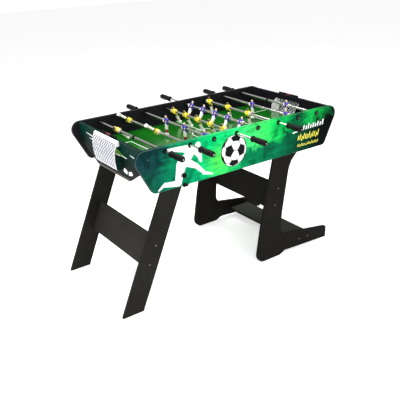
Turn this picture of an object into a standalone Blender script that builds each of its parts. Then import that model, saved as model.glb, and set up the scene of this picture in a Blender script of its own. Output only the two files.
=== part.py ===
"""Folding foosball table, 4 ft class, modelled as the pieces it is put together from.

Frame: metres, +X along the table towards the L-shaped stand, +Y away from the players on the
printed front side, +Z up.  The table stands on z = 0.  Cabinet stations below are given in the
cabinet's own frame, whose origin is the floor point under the middle of the pitch; the parent
empty "table_origin" shifts that frame so that the world origin is the middle of the footprint.
"""

import math

import bmesh
import bpy
from mathutils import Vector

# ---------------------------------------------------------------- driving dimensions
GAP = 0.0003                    # clearance between pieces that touch

# cabinet
PANEL_TOP = 0.790
PANEL_BOTTOM = 0.585
PANEL_TOP_LEFT = -0.6445        # corners before rounding
PANEL_TOP_RIGHT = 0.6360
PANEL_BOTTOM_HALF_LENGTH = 0.536
PANEL_TOP_RADIUS = 0.045
PANEL_BOTTOM_RADIUS = 0.024
PANEL_OUTER_Y = 0.3135
PANEL_THICKNESS = 0.018
PANEL_INNER_Y = PANEL_OUTER_Y - PANEL_THICKNESS

FIELD_TOP = 0.683
FIELD_THICKNESS = 0.012
FIELD_HALF_LENGTH = 0.5512

END_THICKNESS = 0.015
END_BOTTOM_X = 0.560            # outer face at the bottom edge
END_BOTTOM_Z = 0.601
END_TOP_X = 0.578
END_TOP_Z = 0.786
END_FLAT_HALF_WIDTH = 0.150     # flat stretch of the bottom edge
END_CORNER_RISE = 0.089         # height of the cut-off lower corners
GOAL_HALF_WIDTH = 0.095
GOAL_LOW = 0.060                # goal opening, measured up the end panel
GOAL_HIGH = 0.160

HOOD_HALF_WIDTH = 0.112         # at the top, tapering downwards
HOOD_HALF_WIDTH_LOW = 0.098
HOOD_LOW = 0.048                # lower and upper edge, measured up the end panel
HOOD_HIGH = 0.187
HOOD_WALL = 0.0025

# rods, counted from the end with the straight legs
ROD_PITCH = 0.13315
ROD_HEIGHT = 0.768
TUBE_RADIUS = 0.00635
TUBE_BORE = 0.0052
CORE_RADIUS = 0.0044
ROD_HOLE_RADIUS = 0.0085
CORE_END_PROUD = 0.0020         # core end beyond the panel it turns in
CORE_REACH = 0.415
ROUND_SIDES = 16

# men per rod: spacing, travel each way, distance from the group's middle to the handle
ROD_KINDS = {
    1: (0.0, 0.1285, 0.4600),
    2: (0.2650, 0.1350, 0.4800),
    3: (0.1640, 0.1045, 0.4590),
    5: (0.1050, 0.0585, 0.4200),
}
# side of the handle (-1 front, +1 back), men, offset along the rod, swing of the feet in degrees
RODS = [
    (-1, 1, 0.102, 48.0),
    (-1, 2, 0.090, -125.0),
    (1, 3, -0.084, 0.0),
    (-1, 5, -0.004, 27.0),
    (1, 5, 0.024, -25.0),
    (-1, 3, 0.081, 14.0),
    (1, 2, -0.0985, 3.0),
    (1, 1, -0.096, 0.0),
]

HANDLE_LENGTH = 0.096
HANDLE_BORE_DEPTH = 0.084
HANDLE_SIDES = 12
# (distance from the inner end, radius) along the outside of the grip
HANDLE_PROFILE = [
    (0.000, 0.0130), (0.003, 0.0152), (0.011, 0.0152), (0.015, 0.0112), (0.019, 0.0108),
    (0.030, 0.0130), (0.060, 0.0143), (0.082, 0.0138), (0.091, 0.0120), (0.096, 0.0070),
]

# a man, measured from the rod's axis; his height runs along local Z
MAN_WIDTH = 0.025
MAN_BORE = 0.0070
MAN_HUB_RADIUS = 0.0102
MAN_HEAD_RADIUS = 0.0082
MAN_HEAD_HEIGHT = 0.0190
# (upper z, lower z, upper depth and width, lower depth and width)
MAN_TORSO = (0.0130, -0.0130, (0.0150, 0.0250), (0.0130, 0.0210))
MAN_LEGS = (-0.0110, -0.0590, (0.0130, 0.0200), (0.0105, 0.0165))
MAN_FOOT = (-0.0560, -0.0745, (0.0120, 0.0170), (0.0165, 0.0215))
BUMPER_LENGTH = 0.0130          # rubber ring between the last man and the panel
TUBE_TAIL = BUMPER_LENGTH - 0.001
KEEPER_TAIL = 0.1420            # tube beyond the middle of a lone man, away from the handle

# straight legs at the -X end
LEG_PIVOT = (-0.376, 0.636)
LEG_SLOPE = 0.427               # run over rise
LEG_FOOT_LEFT = -0.724
LEG_FOOT_RIGHT = -0.6125
LEG_TOP = 0.668
LEG_INNER_RADIUS = 0.0323
LEG_OUTER_RADIUS = 0.030
LEG_OUTER_Y = 0.288
BOARD = 0.015                   # thickness of every leg, stand and crossbar board
LEG_BAR_LOW = 0.203
LEG_BAR_HIGH = 0.347
LEG_BAR_INSET = 0.070           # middle of the bar behind the leg's outer edge, horizontally

# L-shaped stand at the +X end
STAND_PIVOT = (0.400, 0.625)
STAND_OUTER_Y = 0.292
STAND_FOOT_TIP = 0.6200
# outline corners (x, z, corner radius), from the heel round to the hidden top
STAND_OUTLINE = [
    (0.0890, 0.0000, 0.048), (0.2560, 0.0000, 0.004), (0.2960, 0.0165, 0.010),
    (0.6060, 0.0000, 0.000), (STAND_FOOT_TIP, 0.0000, 0.005), (STAND_FOOT_TIP, 0.0680, 0.011),
    (0.2580, 0.1260, 0.040), (0.2630, 0.2380, 0.300),
    (0.3040, 0.5000, 0.080), (0.3210, 0.5380, 0.010), (0.3660, 0.5830, 0.008),
    (0.4400, 0.5855, 0.0385), (0.4400, 0.6645, 0.0385), (0.3600, 0.6645, 0.050),
    (0.2020, 0.6020, 0.015), (0.1240, 0.2290, 0.600),
]
STAND_BAR_LOW = 0.281
STAND_BAR_HIGH = 0.424
STAND_BAR_X_LOW = 0.204
STAND_BAR_X_HIGH = 0.233
PLANK_TOP = 0.058
PLANK_X = (0.368, 0.508)


# ---------------------------------------------------------------- scene helpers
def clear_scene():
    for obj in list(bpy.data.objects):
        bpy.data.objects.remove(obj, do_unlink=True)


def new_collection(name):
    coll = bpy.data.collections.new(name)
    bpy.context.scene.collection.children.link(coll)
    return coll


def material(name, color, roughness, metallic=0.0):
    mat = bpy.data.materials.new(name)
    mat.use_nodes = True
    shader = mat.node_tree.nodes["Principled BSDF"]
    shader.inputs["Base Color"].default_value = (*color, 1.0)
    shader.inputs["Roughness"].default_value = roughness
    shader.inputs["Metallic"].default_value = metallic
    return mat


clear_scene()
TABLE = new_collection("foosball_table")
TOOLS = new_collection("construction")

BLACK_BOARD = material("black_board", (0.012, 0.012, 0.013), 0.55)
PRINTED_BOARD = material("printed_board", (0.020, 0.300, 0.110), 0.40)
FIELD_GREEN = material("field_green", (0.020, 0.130, 0.020), 0.35)
NET_WHITE = material("net_white", (0.600, 0.620, 0.660), 0.45)
STEEL = material("steel", (0.620, 0.630, 0.640), 0.22, 1.0)
GRIP = material("grip", (0.015, 0.015, 0.016), 0.50)
YELLOW = material("yellow_team", (0.800, 0.640, 0.060), 0.40)
BLUE = material("blue_team", (0.045, 0.040, 0.300), 0.40)


def empty(name, location, parent=None, rotation=(0.0, 0.0, 0.0)):
    obj = bpy.data.objects.new(name, None)
    obj.location = location
    obj.rotation_euler = rotation
    obj.parent = parent
    TOOLS.objects.link(obj)
    return obj


def add_part(name, mesh, mat, parent, location=(0.0, 0.0, 0.0), rotation=(0.0, 0.0, 0.0)):
    obj = bpy.data.objects.new(name, mesh)
    obj.location = location
    obj.rotation_euler = rotation
    obj.parent = parent
    if not mesh.materials:
        mesh.materials.append(mat)
    TABLE.objects.link(obj)
    return obj


def add_cutter(name, mesh, parent=None, location=(0.0, 0.0, 0.0), rotation=(0.0, 0.0, 0.0)):
    obj = bpy.data.objects.new(name, mesh)
    obj.location = location
    obj.rotation_euler = rotation
    obj.parent = parent
    obj.hide_render = True
    obj.display_type = "WIRE"
    TOOLS.objects.link(obj)
    return obj


def boolean(obj, other, operation):
    mod = obj.modifiers.new(other.name, "BOOLEAN")
    mod.operation = operation
    mod.object = other


# ---------------------------------------------------------------- shape helpers
def circle(centre, radius, sides):
    return [
        (centre[0] + radius * math.cos(2 * math.pi * i / sides),
         centre[1] + radius * math.sin(2 * math.pi * i / sides))
        for i in range(sides)
    ]


def rounded(corners, step=math.radians(18.0)):
    """Closed outline through (a, b, radius) corners, each rounded by a tangent arc."""
    points = []
    count = len(corners)
    for i, (a, b, radius) in enumerate(corners):
        here = Vector((a, b))
        before = Vector(corners[i - 1][:2]) - here
        after = Vector(corners[(i + 1) % count][:2]) - here
        opening = before.angle(after)
        reach = min(radius / math.tan(opening / 2), 0.48 * before.length, 0.48 * after.length)
        if reach < 1e-5:
            points.append((a, b))
            continue
        true_radius = reach * math.tan(opening / 2)
        start = here + before.normalized() * reach
        end = here + after.normalized() * reach
        middle_way = (before.normalized() + after.normalized()).normalized()
        centre = here + middle_way * (true_radius / math.sin(opening / 2))
        turn = math.pi - opening
        pieces = max(1, math.ceil(turn / step))
        first = start - centre
        sign = 1.0 if first.x * (end - centre).y - first.y * (end - centre).x > 0 else -1.0
        for j in range(pieces + 1):
            angle = sign * turn * j / pieces
            spun = Vector((
                first.x * math.cos(angle) - first.y * math.sin(angle),
                first.x * math.sin(angle) + first.y * math.cos(angle),
            ))
            points.append(tuple(centre + spun))
    return points


def plate_mesh(name, outlines, thickness):
    """Flat board from closed outlines in the XY plane; outlines after the first are holes."""
    curve = bpy.data.curves.new(name, "CURVE")
    curve.dimensions = "2D"
    curve.fill_mode = "BOTH"
    curve.extrude = thickness / 2
    for outline in outlines:
        spline = curve.splines.new("POLY")
        spline.points.add(len(outline) - 1)
        for point, (a, b) in zip(spline.points, outline):
            point.co = (a, b, 0.0, 1.0)
        spline.use_cyclic_u = True
    guide = bpy.data.objects.new(name + "_outline", curve)
    TOOLS.objects.link(guide)
    bpy.context.view_layer.update()
    depsgraph = bpy.context.evaluated_depsgraph_get()
    mesh = bpy.data.meshes.new_from_object(guide.evaluated_get(depsgraph))
    mesh.name = name
    bpy.data.objects.remove(guide, do_unlink=True)
    edit = bmesh.new()
    edit.from_mesh(mesh)
    bmesh.ops.remove_doubles(edit, verts=edit.verts, dist=1e-5)
    bmesh.ops.recalc_face_normals(edit, faces=edit.faces)
    edit.to_mesh(mesh)
    edit.free()
    mesh.materials.clear()
    return mesh


def upright_plate(name, outlines, thickness, mat, parent, pivot, y):
    """Board whose outline is given as (x, z) stations and whose thickness runs along Y."""
    local = [[(a - pivot[0], b - pivot[1]) for a, b in outline] for outline in outlines]
    mesh = plate_mesh(name, local, thickness)
    return add_part(name, mesh, mat, parent, (0.0, y, 0.0), (math.pi / 2, 0.0, 0.0))


def box_mesh(name, size, bevel=0.0):
    edit = bmesh.new()
    bmesh.ops.create_cube(edit, size=1.0)
    bmesh.ops.scale(edit, vec=size, verts=edit.verts)
    if bevel:
        bmesh.ops.bevel(edit, geom=list(edit.edges), offset=bevel, segments=1, affect="EDGES")
    mesh = bpy.data.meshes.new(name)
    edit.to_mesh(mesh)
    edit.free()
    return mesh


def taper_mesh(name, block):
    """Block along Z whose section changes from its upper (depth, width) to its lower one."""
    high, low, upper, lower = block
    edit = bmesh.new()
    bmesh.ops.create_cube(edit, size=1.0)
    for vert in edit.verts:
        section = upper if vert.co.z > 0 else lower
        vert.co.x *= section[0]
        vert.co.y *= section[1]
        vert.co.z = high if vert.co.z > 0 else low
    mesh = bpy.data.meshes.new(name)
    edit.to_mesh(mesh)
    edit.free()
    return mesh


def cylinder_mesh(name, radius, length, sides):
    edit = bmesh.new()
    bmesh.ops.create_cone(
        edit, cap_ends=True, segments=sides, radius1=radius, radius2=radius, depth=length
    )
    mesh = bpy.data.meshes.new(name)
    edit.to_mesh(mesh)
    edit.free()
    return mesh


def turn(obj, steps):
    screw = obj.modifiers.new("turn", "SCREW")
    screw.axis = "Z"
    screw.angle = 2 * math.pi
    screw.steps = steps
    screw.render_steps = steps
    screw.use_merge_vertices = True
    screw.merge_threshold = 0.00005
    screw.use_smooth_shade = True


def profile_mesh(name, points, closed):
    """Chain of edges at +X: (radius, height) points, running down the outer side."""
    edit = bmesh.new()
    verts = [edit.verts.new((r, 0.0, h)) for r, h in points]
    links = list(zip(verts, verts[1:]))
    if closed:
        links.append((verts[-1], verts[0]))
    for pair in links:
        edit.edges.new(pair)
    mesh = bpy.data.meshes.new(name)
    edit.to_mesh(mesh)
    edit.free()
    return mesh


def shade(mesh, angle=math.radians(40.0)):
    mesh.shade_smooth()
    mesh.set_sharp_from_angle(angle=angle)


# ---------------------------------------------------------------- footprint and origin
def handle_tips():
    """Y of every handle's outer end in the rest position."""
    return [
        side * (ROD_KINDS[men][2] + HANDLE_LENGTH) + offset for side, men, offset, _ in RODS
    ]


FOOT_MIDDLE_X = (LEG_FOOT_LEFT + STAND_FOOT_TIP) / 2
FOOT_MIDDLE_Y = (min(handle_tips()) + max(handle_tips())) / 2
ORIGIN = empty("table_origin", (-FOOT_MIDDLE_X, -FOOT_MIDDLE_Y, 0.0))


def rod_x(index):
    return (index - (len(RODS) - 1) / 2) * ROD_PITCH


# ---------------------------------------------------------------- cabinet
def make_side_panels():
    outline = rounded([
        (-PANEL_BOTTOM_HALF_LENGTH, PANEL_BOTTOM, PANEL_BOTTOM_RADIUS),
        (PANEL_BOTTOM_HALF_LENGTH, PANEL_BOTTOM, PANEL_BOTTOM_RADIUS),
        (PANEL_TOP_RIGHT, PANEL_TOP, PANEL_TOP_RADIUS),
        (PANEL_TOP_LEFT, PANEL_TOP, PANEL_TOP_RADIUS),
    ])
    holes = [
        circle((rod_x(i), ROD_HEIGHT), ROD_HOLE_RADIUS, ROUND_SIDES) for i in range(len(RODS))
    ]
    middle = (PANEL_INNER_Y + PANEL_OUTER_Y) / 2
    for name, side, mat in (("front", -1, PRINTED_BOARD), ("back", 1, BLACK_BOARD)):
        upright_plate(
            "side_panel_" + name, [outline] + holes, PANEL_THICKNESS, mat, ORIGIN, (0.0, 0.0),
            side * middle,
        )


def make_playfield():
    size = (2 * FIELD_HALF_LENGTH, 2 * (PANEL_INNER_Y - GAP), FIELD_THICKNESS)
    mesh = box_mesh("playfield", size, 0.001)
    add_part("playfield", mesh, FIELD_GREEN, ORIGIN, (0.0, 0.0, FIELD_TOP - FIELD_THICKNESS / 2))


def make_end(name, direction):
    """End panel with its goal opening, and the hood outside it that catches the ball."""
    lean = math.atan2(END_TOP_X - END_BOTTOM_X, END_TOP_Z - END_BOTTOM_Z)
    height = (END_TOP_Z - END_BOTTOM_Z) / math.cos(lean)
    half = PANEL_INNER_Y - GAP
    turn_round = 0.0 if direction > 0 else math.pi
    frame = empty(
        "end_frame_" + name, (direction * END_BOTTOM_X, 0.0, END_BOTTOM_Z), ORIGIN,
        (0.0, lean, turn_round),
    )
    outline = rounded([
        (-END_FLAT_HALF_WIDTH, 0.0, 0.010), (END_FLAT_HALF_WIDTH, 0.0, 0.010),
        (half, END_CORNER_RISE, 0.0), (half, height, 0.0),
        (-half, height, 0.0), (-half, END_CORNER_RISE, 0.0),
    ])
    goal = rounded([
        (-GOAL_HALF_WIDTH, GOAL_LOW, 0.008), (GOAL_HALF_WIDTH, GOAL_LOW, 0.008),
        (GOAL_HALF_WIDTH, GOAL_HIGH, 0.008), (-GOAL_HALF_WIDTH, GOAL_HIGH, 0.008),
    ])
    mesh = plate_mesh("end_panel_" + name, [outline, goal], END_THICKNESS)
    standing = (math.pi / 2, 0.0, math.pi / 2)
    add_part(
        "end_panel_" + name, mesh, PRINTED_BOARD, frame, (-END_THICKNESS / 2, 0.0, 0.0), standing
    )

    # hood section as (distance out of the panel, height up the panel); it is a bent sheet with a
    # thick upper lip and a floor, open at both sides
    outer = rounded([
        (GAP, HOOD_LOW, 0.0), (0.0240, HOOD_LOW, 0.003), (0.0300, 0.056, 0.010),
        (0.0335, 0.100, 0.060), (0.0290, 0.145, 0.050), (0.0130, 0.178, 0.012),
        (0.0085, HOOD_HIGH, 0.003), (GAP, HOOD_HIGH, 0.0),
    ])
    inner = rounded([
        (-0.010, HOOD_LOW + HOOD_WALL, 0.0), (0.0230, HOOD_LOW + HOOD_WALL, 0.003),
        (0.0275, 0.0568, 0.010), (0.0310, 0.100, 0.060), (0.0265, 0.144, 0.050),
        (0.0165, 0.163, 0.004), (-0.010, 0.163, 0.0),
    ])
    shell = plate_mesh("goal_hood_" + name, [outer], 2.0)
    for vert in shell.vertices:
        share = (vert.co.y - HOOD_LOW) / (HOOD_HIGH - HOOD_LOW)
        vert.co.z *= HOOD_HALF_WIDTH_LOW + share * (HOOD_HALF_WIDTH - HOOD_HALF_WIDTH_LOW)
    hood = add_part(
        "goal_hood_" + name, shell, NET_WHITE, frame, (0.0, 0.0, 0.0), (math.pi / 2, 0.0, 0.0)
    )
    room = plate_mesh("hood_room_" + name, [inner], 3 * HOOD_HALF_WIDTH)
    boolean(
        hood, add_cutter("hood_room_" + name, room, frame, (0.0, 0.0, 0.0), (math.pi / 2, 0.0, 0.0)),
        "DIFFERENCE",
    )


# ---------------------------------------------------------------- rods
def man_mesh():
    """One moulded man: hub on the rod, torso, head, legs and foot in one piece."""
    body = add_cutter("man_pattern", taper_mesh("man_torso", MAN_TORSO))
    hub = add_cutter(
        "man_hub", cylinder_mesh("man_hub", MAN_HUB_RADIUS, MAN_WIDTH, ROUND_SIDES),
        rotation=(math.pi / 2, 0.0, 0.0),
    )
    head_mesh = bpy.data.meshes.new("man_head")
    edit = bmesh.new()
    bmesh.ops.create_uvsphere(edit, u_segments=8, v_segments=6, radius=MAN_HEAD_RADIUS)
    edit.to_mesh(head_mesh)
    edit.free()
    head = add_cutter("man_head", head_mesh, location=(0.0, 0.0, MAN_HEAD_HEIGHT))
    legs = add_cutter("man_legs", taper_mesh("man_legs", MAN_LEGS))
    foot = add_cutter("man_foot", taper_mesh("man_foot", MAN_FOOT))
    bore = add_cutter(
        "man_bore", cylinder_mesh("man_bore", MAN_BORE, 2 * MAN_WIDTH, ROUND_SIDES),
        rotation=(math.pi / 2, 0.0, 0.0),
    )
    for piece in (hub, head, legs, foot):
        boolean(body, piece, "UNION")
    boolean(body, bore, "DIFFERENCE")
    bpy.context.view_layer.update()
    depsgraph = bpy.context.evaluated_depsgraph_get()
    mesh = bpy.data.meshes.new_from_object(body.evaluated_get(depsgraph))
    mesh.name = "man"
    mesh.materials.clear()
    for piece in (body, hub, head, legs, foot, bore):
        bpy.data.objects.remove(piece, do_unlink=True)
    shade(mesh)
    return mesh


def tube_mesh(name, start, end):
    points = [(TUBE_RADIUS, end), (TUBE_RADIUS, start), (TUBE_BORE, start), (TUBE_BORE, end)]
    return profile_mesh(name, points, True)


def handle_mesh(name):
    points = [(0.0, HANDLE_LENGTH)]
    points += [(radius, reach) for reach, radius in reversed(HANDLE_PROFILE)]
    points += [(MAN_BORE, 0.0), (MAN_BORE, HANDLE_BORE_DEPTH), (0.0, HANDLE_BORE_DEPTH)]
    return profile_mesh(name, points, False)


def make_rod(index, men, side, offset, swing, man_meshes):
    """Core that turns in the far panel, and the tube, men and handle that slide along it."""
    number = index + 1
    spacing, _, handle_at = ROD_KINDS[men]
    group_half = (men - 1) / 2 * spacing + MAN_WIDTH / 2
    tail = group_half + TUBE_TAIL
    if men == 1:
        tail = KEEPER_TAIL
    towards_handle = (-side * math.pi / 2, 0.0, 0.0)
    swing_angle = -math.radians(swing)

    core_pivot = empty(
        f"rod_{number}_bearing", (rod_x(index), 0.0, ROD_HEIGHT), ORIGIN, (0.0, swing_angle, 0.0)
    )
    far_end = -side * (PANEL_OUTER_Y + CORE_END_PROUD)
    core = cylinder_mesh(f"rod_{number}_core", CORE_RADIUS, CORE_REACH, HANDLE_SIDES)
    shade(core)
    add_part(
        f"rod_{number}_core", core, STEEL, core_pivot, (0.0, far_end + side * CORE_REACH / 2, 0.0),
        towards_handle,
    )

    group = empty(f"rod_{number}_group", (0.0, offset, 0.0), core_pivot)
    tube_end = handle_at + HANDLE_BORE_DEPTH - 0.003
    tube = add_part(
        f"rod_{number}_tube", tube_mesh(f"rod_{number}_tube", -tail, tube_end), STEEL, group,
        rotation=towards_handle,
    )
    turn(tube, ROUND_SIDES)
    handle = add_part(
        f"rod_{number}_handle", handle_mesh(f"rod_{number}_handle"), GRIP, group,
        (0.0, side * handle_at, 0.0), towards_handle,
    )
    turn(handle, HANDLE_SIDES)
    for man in range(men):
        along = (man - (men - 1) / 2) * spacing
        add_part(f"rod_{number}_man_{man + 1}", man_meshes[side], None, group, (0.0, along, 0.0))


def make_rods():
    yellow_man = man_mesh()
    blue_man = yellow_man.copy()
    yellow_man.materials.append(YELLOW)
    blue_man.materials.append(BLUE)
    man_meshes = {-1: yellow_man, 1: blue_man}
    for index, (side, men, offset, swing) in enumerate(RODS):
        make_rod(index, men, side, offset, swing, man_meshes)


# ---------------------------------------------------------------- straight legs
def make_left_legs():
    pivot = empty("left_leg_pivot", (LEG_PIVOT[0], 0.0, LEG_PIVOT[1]), ORIGIN)
    top_left = LEG_FOOT_LEFT + LEG_SLOPE * LEG_TOP
    top_right = LEG_FOOT_RIGHT + LEG_SLOPE * LEG_TOP
    outline = rounded([
        (LEG_FOOT_LEFT, 0.0, 0.0), (LEG_FOOT_RIGHT, 0.0, 0.0),
        (top_right, LEG_TOP, LEG_INNER_RADIUS), (top_left, LEG_TOP, LEG_OUTER_RADIUS),
    ])
    for name, side in (("front", -1), ("back", 1)):
        upright_plate(
            "left_leg_" + name, [outline], BOARD, BLACK_BOARD, pivot, LEG_PIVOT,
            side * (LEG_OUTER_Y - BOARD / 2),
        )
    lean = math.atan(LEG_SLOPE)
    height = (LEG_BAR_HIGH - LEG_BAR_LOW) / math.cos(lean)
    span = 2 * (LEG_OUTER_Y - BOARD - GAP)
    middle_z = (LEG_BAR_LOW + LEG_BAR_HIGH) / 2
    middle_x = LEG_FOOT_LEFT + LEG_BAR_INSET + LEG_SLOPE * middle_z
    add_part(
        "left_leg_crossbar", box_mesh("left_leg_crossbar", (BOARD, span, height), 0.0015),
        BLACK_BOARD, pivot, (middle_x - LEG_PIVOT[0], 0.0, middle_z - LEG_PIVOT[1]),
        (0.0, lean, 0.0),
    )


# ---------------------------------------------------------------- L-shaped stand
def make_stand():
    pivot = empty("stand_pivot", (STAND_PIVOT[0], 0.0, STAND_PIVOT[1]), ORIGIN)
    outline = rounded(STAND_OUTLINE)
    for name, side in (("front", -1), ("back", 1)):
        upright_plate(
            "stand_side_" + name, [outline], BOARD, BLACK_BOARD, pivot, STAND_PIVOT,
            side * (STAND_OUTER_Y - BOARD / 2),
        )
    span = 2 * (STAND_OUTER_Y - BOARD - GAP)
    rise = STAND_BAR_HIGH - STAND_BAR_LOW
    run = STAND_BAR_X_HIGH - STAND_BAR_X_LOW
    lean = math.atan2(run, rise)
    middle_x = (STAND_BAR_X_LOW + STAND_BAR_X_HIGH) / 2 + BOARD / 2
    middle_z = (STAND_BAR_LOW + STAND_BAR_HIGH) / 2
    add_part(
        "stand_crossbar", box_mesh("stand_crossbar", (BOARD, span, math.hypot(rise, run)), 0.0015),
        BLACK_BOARD, pivot, (middle_x - STAND_PIVOT[0], 0.0, middle_z - STAND_PIVOT[1]),
        (0.0, lean, 0.0),
    )
    plank = box_mesh("stand_foot_plank", (PLANK_X[1] - PLANK_X[0], span, BOARD), 0.0015)
    add_part(
        "stand_foot_plank", plank, BLACK_BOARD, pivot,
        (sum(PLANK_X) / 2 - STAND_PIVOT[0], 0.0, PLANK_TOP - BOARD / 2 - STAND_PIVOT[1]),
    )


make_side_panels()
make_playfield()
make_end("left", -1)
make_end("right", 1)
make_rods()
make_left_legs()
make_stand()
bpy.context.view_layer.update()
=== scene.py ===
"""Folding foosball table: the visual model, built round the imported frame.

Lengths are metres in the row frame; tables passed to mm() are in millimetres. Stations called
"cabinet" are measured from the floor point under the middle of the pitch, and at() shifts them
into the row frame.
"""

import math

import bmesh
import bpy
from mathutils import Matrix, Vector


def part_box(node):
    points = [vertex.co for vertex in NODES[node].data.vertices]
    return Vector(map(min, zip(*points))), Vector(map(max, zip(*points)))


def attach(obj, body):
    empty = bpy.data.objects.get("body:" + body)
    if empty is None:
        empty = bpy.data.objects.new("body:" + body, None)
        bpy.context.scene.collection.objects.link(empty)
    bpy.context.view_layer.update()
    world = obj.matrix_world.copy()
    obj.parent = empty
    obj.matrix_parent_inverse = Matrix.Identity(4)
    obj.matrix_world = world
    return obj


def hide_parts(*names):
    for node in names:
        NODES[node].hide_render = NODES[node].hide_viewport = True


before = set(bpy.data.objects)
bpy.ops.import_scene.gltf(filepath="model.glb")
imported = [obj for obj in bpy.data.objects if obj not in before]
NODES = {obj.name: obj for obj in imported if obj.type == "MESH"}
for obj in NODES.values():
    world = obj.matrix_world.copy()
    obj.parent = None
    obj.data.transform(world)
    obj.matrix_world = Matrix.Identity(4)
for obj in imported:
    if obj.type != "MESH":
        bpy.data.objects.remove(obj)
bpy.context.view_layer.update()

FIELD_LOW, FIELD_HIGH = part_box("playfield")
MIDDLE_X = (FIELD_LOW.x + FIELD_HIGH.x) / 2
MIDDLE_Y = (FIELD_LOW.y + FIELD_HIGH.y) / 2
FIELD_TOP = FIELD_HIGH.z
FIELD_HALF = (FIELD_HIGH.x - FIELD_LOW.x) / 2
PANEL_LOW, PANEL_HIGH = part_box("side_panel_front")
PANEL_OUTER = MIDDLE_Y - PANEL_LOW.y
PANEL_INNER = MIDDLE_Y - PANEL_HIGH.y

X_AXIS, Y_AXIS, Z_AXIS = Vector((1, 0, 0)), Vector((0, 1, 0)), Vector((0, 0, 1))
PROUD = 0.00012                 # thickness of printed films and inks
LIFT = 0.00005                  # their clearance over the board


def at(x, y, z):
    """A cabinet station in the row frame."""
    return Vector((x + MIDDLE_X, y + MIDDLE_Y, z))


def mm(*rows):
    """Rows of millimetres as rows of metres."""
    return [tuple(value / 1000 for value in row) for row in rows]


# ---------------------------------------------------------------- shapes
def perpendicular(axis):
    """Two unit vectors at right angles to axis and to each other."""
    axis = Vector(axis).normalized()
    helper = Z_AXIS if abs(axis.z) < 0.9 else X_AXIS
    first = axis.cross(helper).normalized()
    return first, axis.cross(first)


class Shape:
    """Collects faces with their material numbers, then becomes one piece."""

    def __init__(self):
        self.points, self.faces, self.paints = [], [], []

    def add(self, points, faces, paint=0):
        base = len(self.points)
        self.points += [tuple(p) for p in points]
        self.faces += [tuple(base + i for i in face) for face in faces]
        self.paints += [paint] * len(faces)
        return self

    def loft(self, rings, paint=0, loop=False):
        """Skin through rings of equal length; paint may be a list, one number for each gap."""
        count, rows = len(rings[0]), len(rings)
        base = len(self.points)
        self.points += [tuple(p) for ring in rings for p in ring]
        gaps = rows if loop else rows - 1
        paints = paint if isinstance(paint, list) else [paint] * gaps
        for row in range(gaps):
            low, high = base + row * count, base + (row + 1) % rows * count
            for i in range(count):
                j = (i + 1) % count
                self.faces.append((low + i, low + j, high + j, high + i))
                self.paints.append(paints[row])
        if not loop:
            self.faces.append(tuple(base + i for i in reversed(range(count))))
            self.faces.append(tuple(base + (rows - 1) * count + i for i in range(count)))
            self.paints += [paints[0], paints[-1]]
        return self

    def lathe(self, origin, axis, profile, sides=32, paint=0, loop=False, ripple=None):
        """Turned form: profile is (distance along axis, radius) from origin."""
        axis = Vector(axis).normalized()
        first, second = perpendicular(axis)
        rings = []
        for along, radius in profile:
            ring = []
            for i in range(sides):
                angle = 2 * math.pi * i / sides
                reach = radius * (ripple(along, angle) if ripple else 1.0)
                spoke = first * math.cos(angle) + second * math.sin(angle)
                ring.append(Vector(origin) + axis * along + spoke * reach)
            rings.append(ring)
        return self.loft(rings, paint, loop)

    def slab(self, outlines, place, low, high, paint=0):
        """Flat board from closed 2-D outlines, later ones holes; place(a, b, h) gives the point."""
        curve = bpy.data.curves.new("outline", "CURVE")
        curve.dimensions = "2D"
        curve.fill_mode = "BOTH"
        curve.extrude = 0.5
        for outline in outlines:
            spline = curve.splines.new("POLY")
            spline.points.add(len(outline) - 1)
            for point, (a, b) in zip(spline.points, outline):
                point.co = (a, b, 0.0, 1.0)
            spline.use_cyclic_u = True
        guide = bpy.data.objects.new("outline", curve)
        bpy.context.scene.collection.objects.link(guide)
        bpy.context.view_layer.update()
        graph = bpy.context.evaluated_depsgraph_get()
        mesh = bpy.data.meshes.new_from_object(guide.evaluated_get(graph))
        points = [place(v.co.x, v.co.y, low + (v.co.z + 0.5) * (high - low))
                  for v in mesh.vertices]
        self.add(points, [list(p.vertices) for p in mesh.polygons], paint)
        bpy.data.objects.remove(guide, do_unlink=True)
        bpy.data.curves.remove(curve)
        bpy.data.meshes.remove(mesh)
        return self

    def moved(self, matrix):
        self.points = [tuple(matrix @ Vector(p)) for p in self.points]
        return self


def mesh_of(name, shape, materials, crease):
    """Mesh with merged points, outward faces and edges sharp beyond crease degrees."""
    mesh = bpy.data.meshes.new(name)
    mesh.from_pydata(shape.points, [], shape.faces)
    mesh.polygons.foreach_set("material_index", shape.paints)
    edit = bmesh.new()
    edit.from_mesh(mesh)
    bmesh.ops.remove_doubles(edit, verts=edit.verts, dist=1e-6)
    bmesh.ops.recalc_face_normals(edit, faces=edit.faces)
    edit.to_mesh(mesh)
    edit.free()
    for material in materials:
        mesh.materials.append(material)
    mesh.shade_smooth()
    mesh.set_sharp_from_angle(angle=math.radians(crease))
    return mesh


def piece(name, shape, materials, body, slot, stands_for=(), crease=35.0):
    """Visual piece that rides on a body and may stand for carried-over CAD nodes."""
    materials = materials if isinstance(materials, (list, tuple)) else [materials]
    obj = bpy.data.objects.new(name, mesh_of(name, shape, materials, crease))
    bpy.context.scene.collection.objects.link(obj)
    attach(obj, body)
    if stands_for:
        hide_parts(*stands_for)
    return obj


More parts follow.
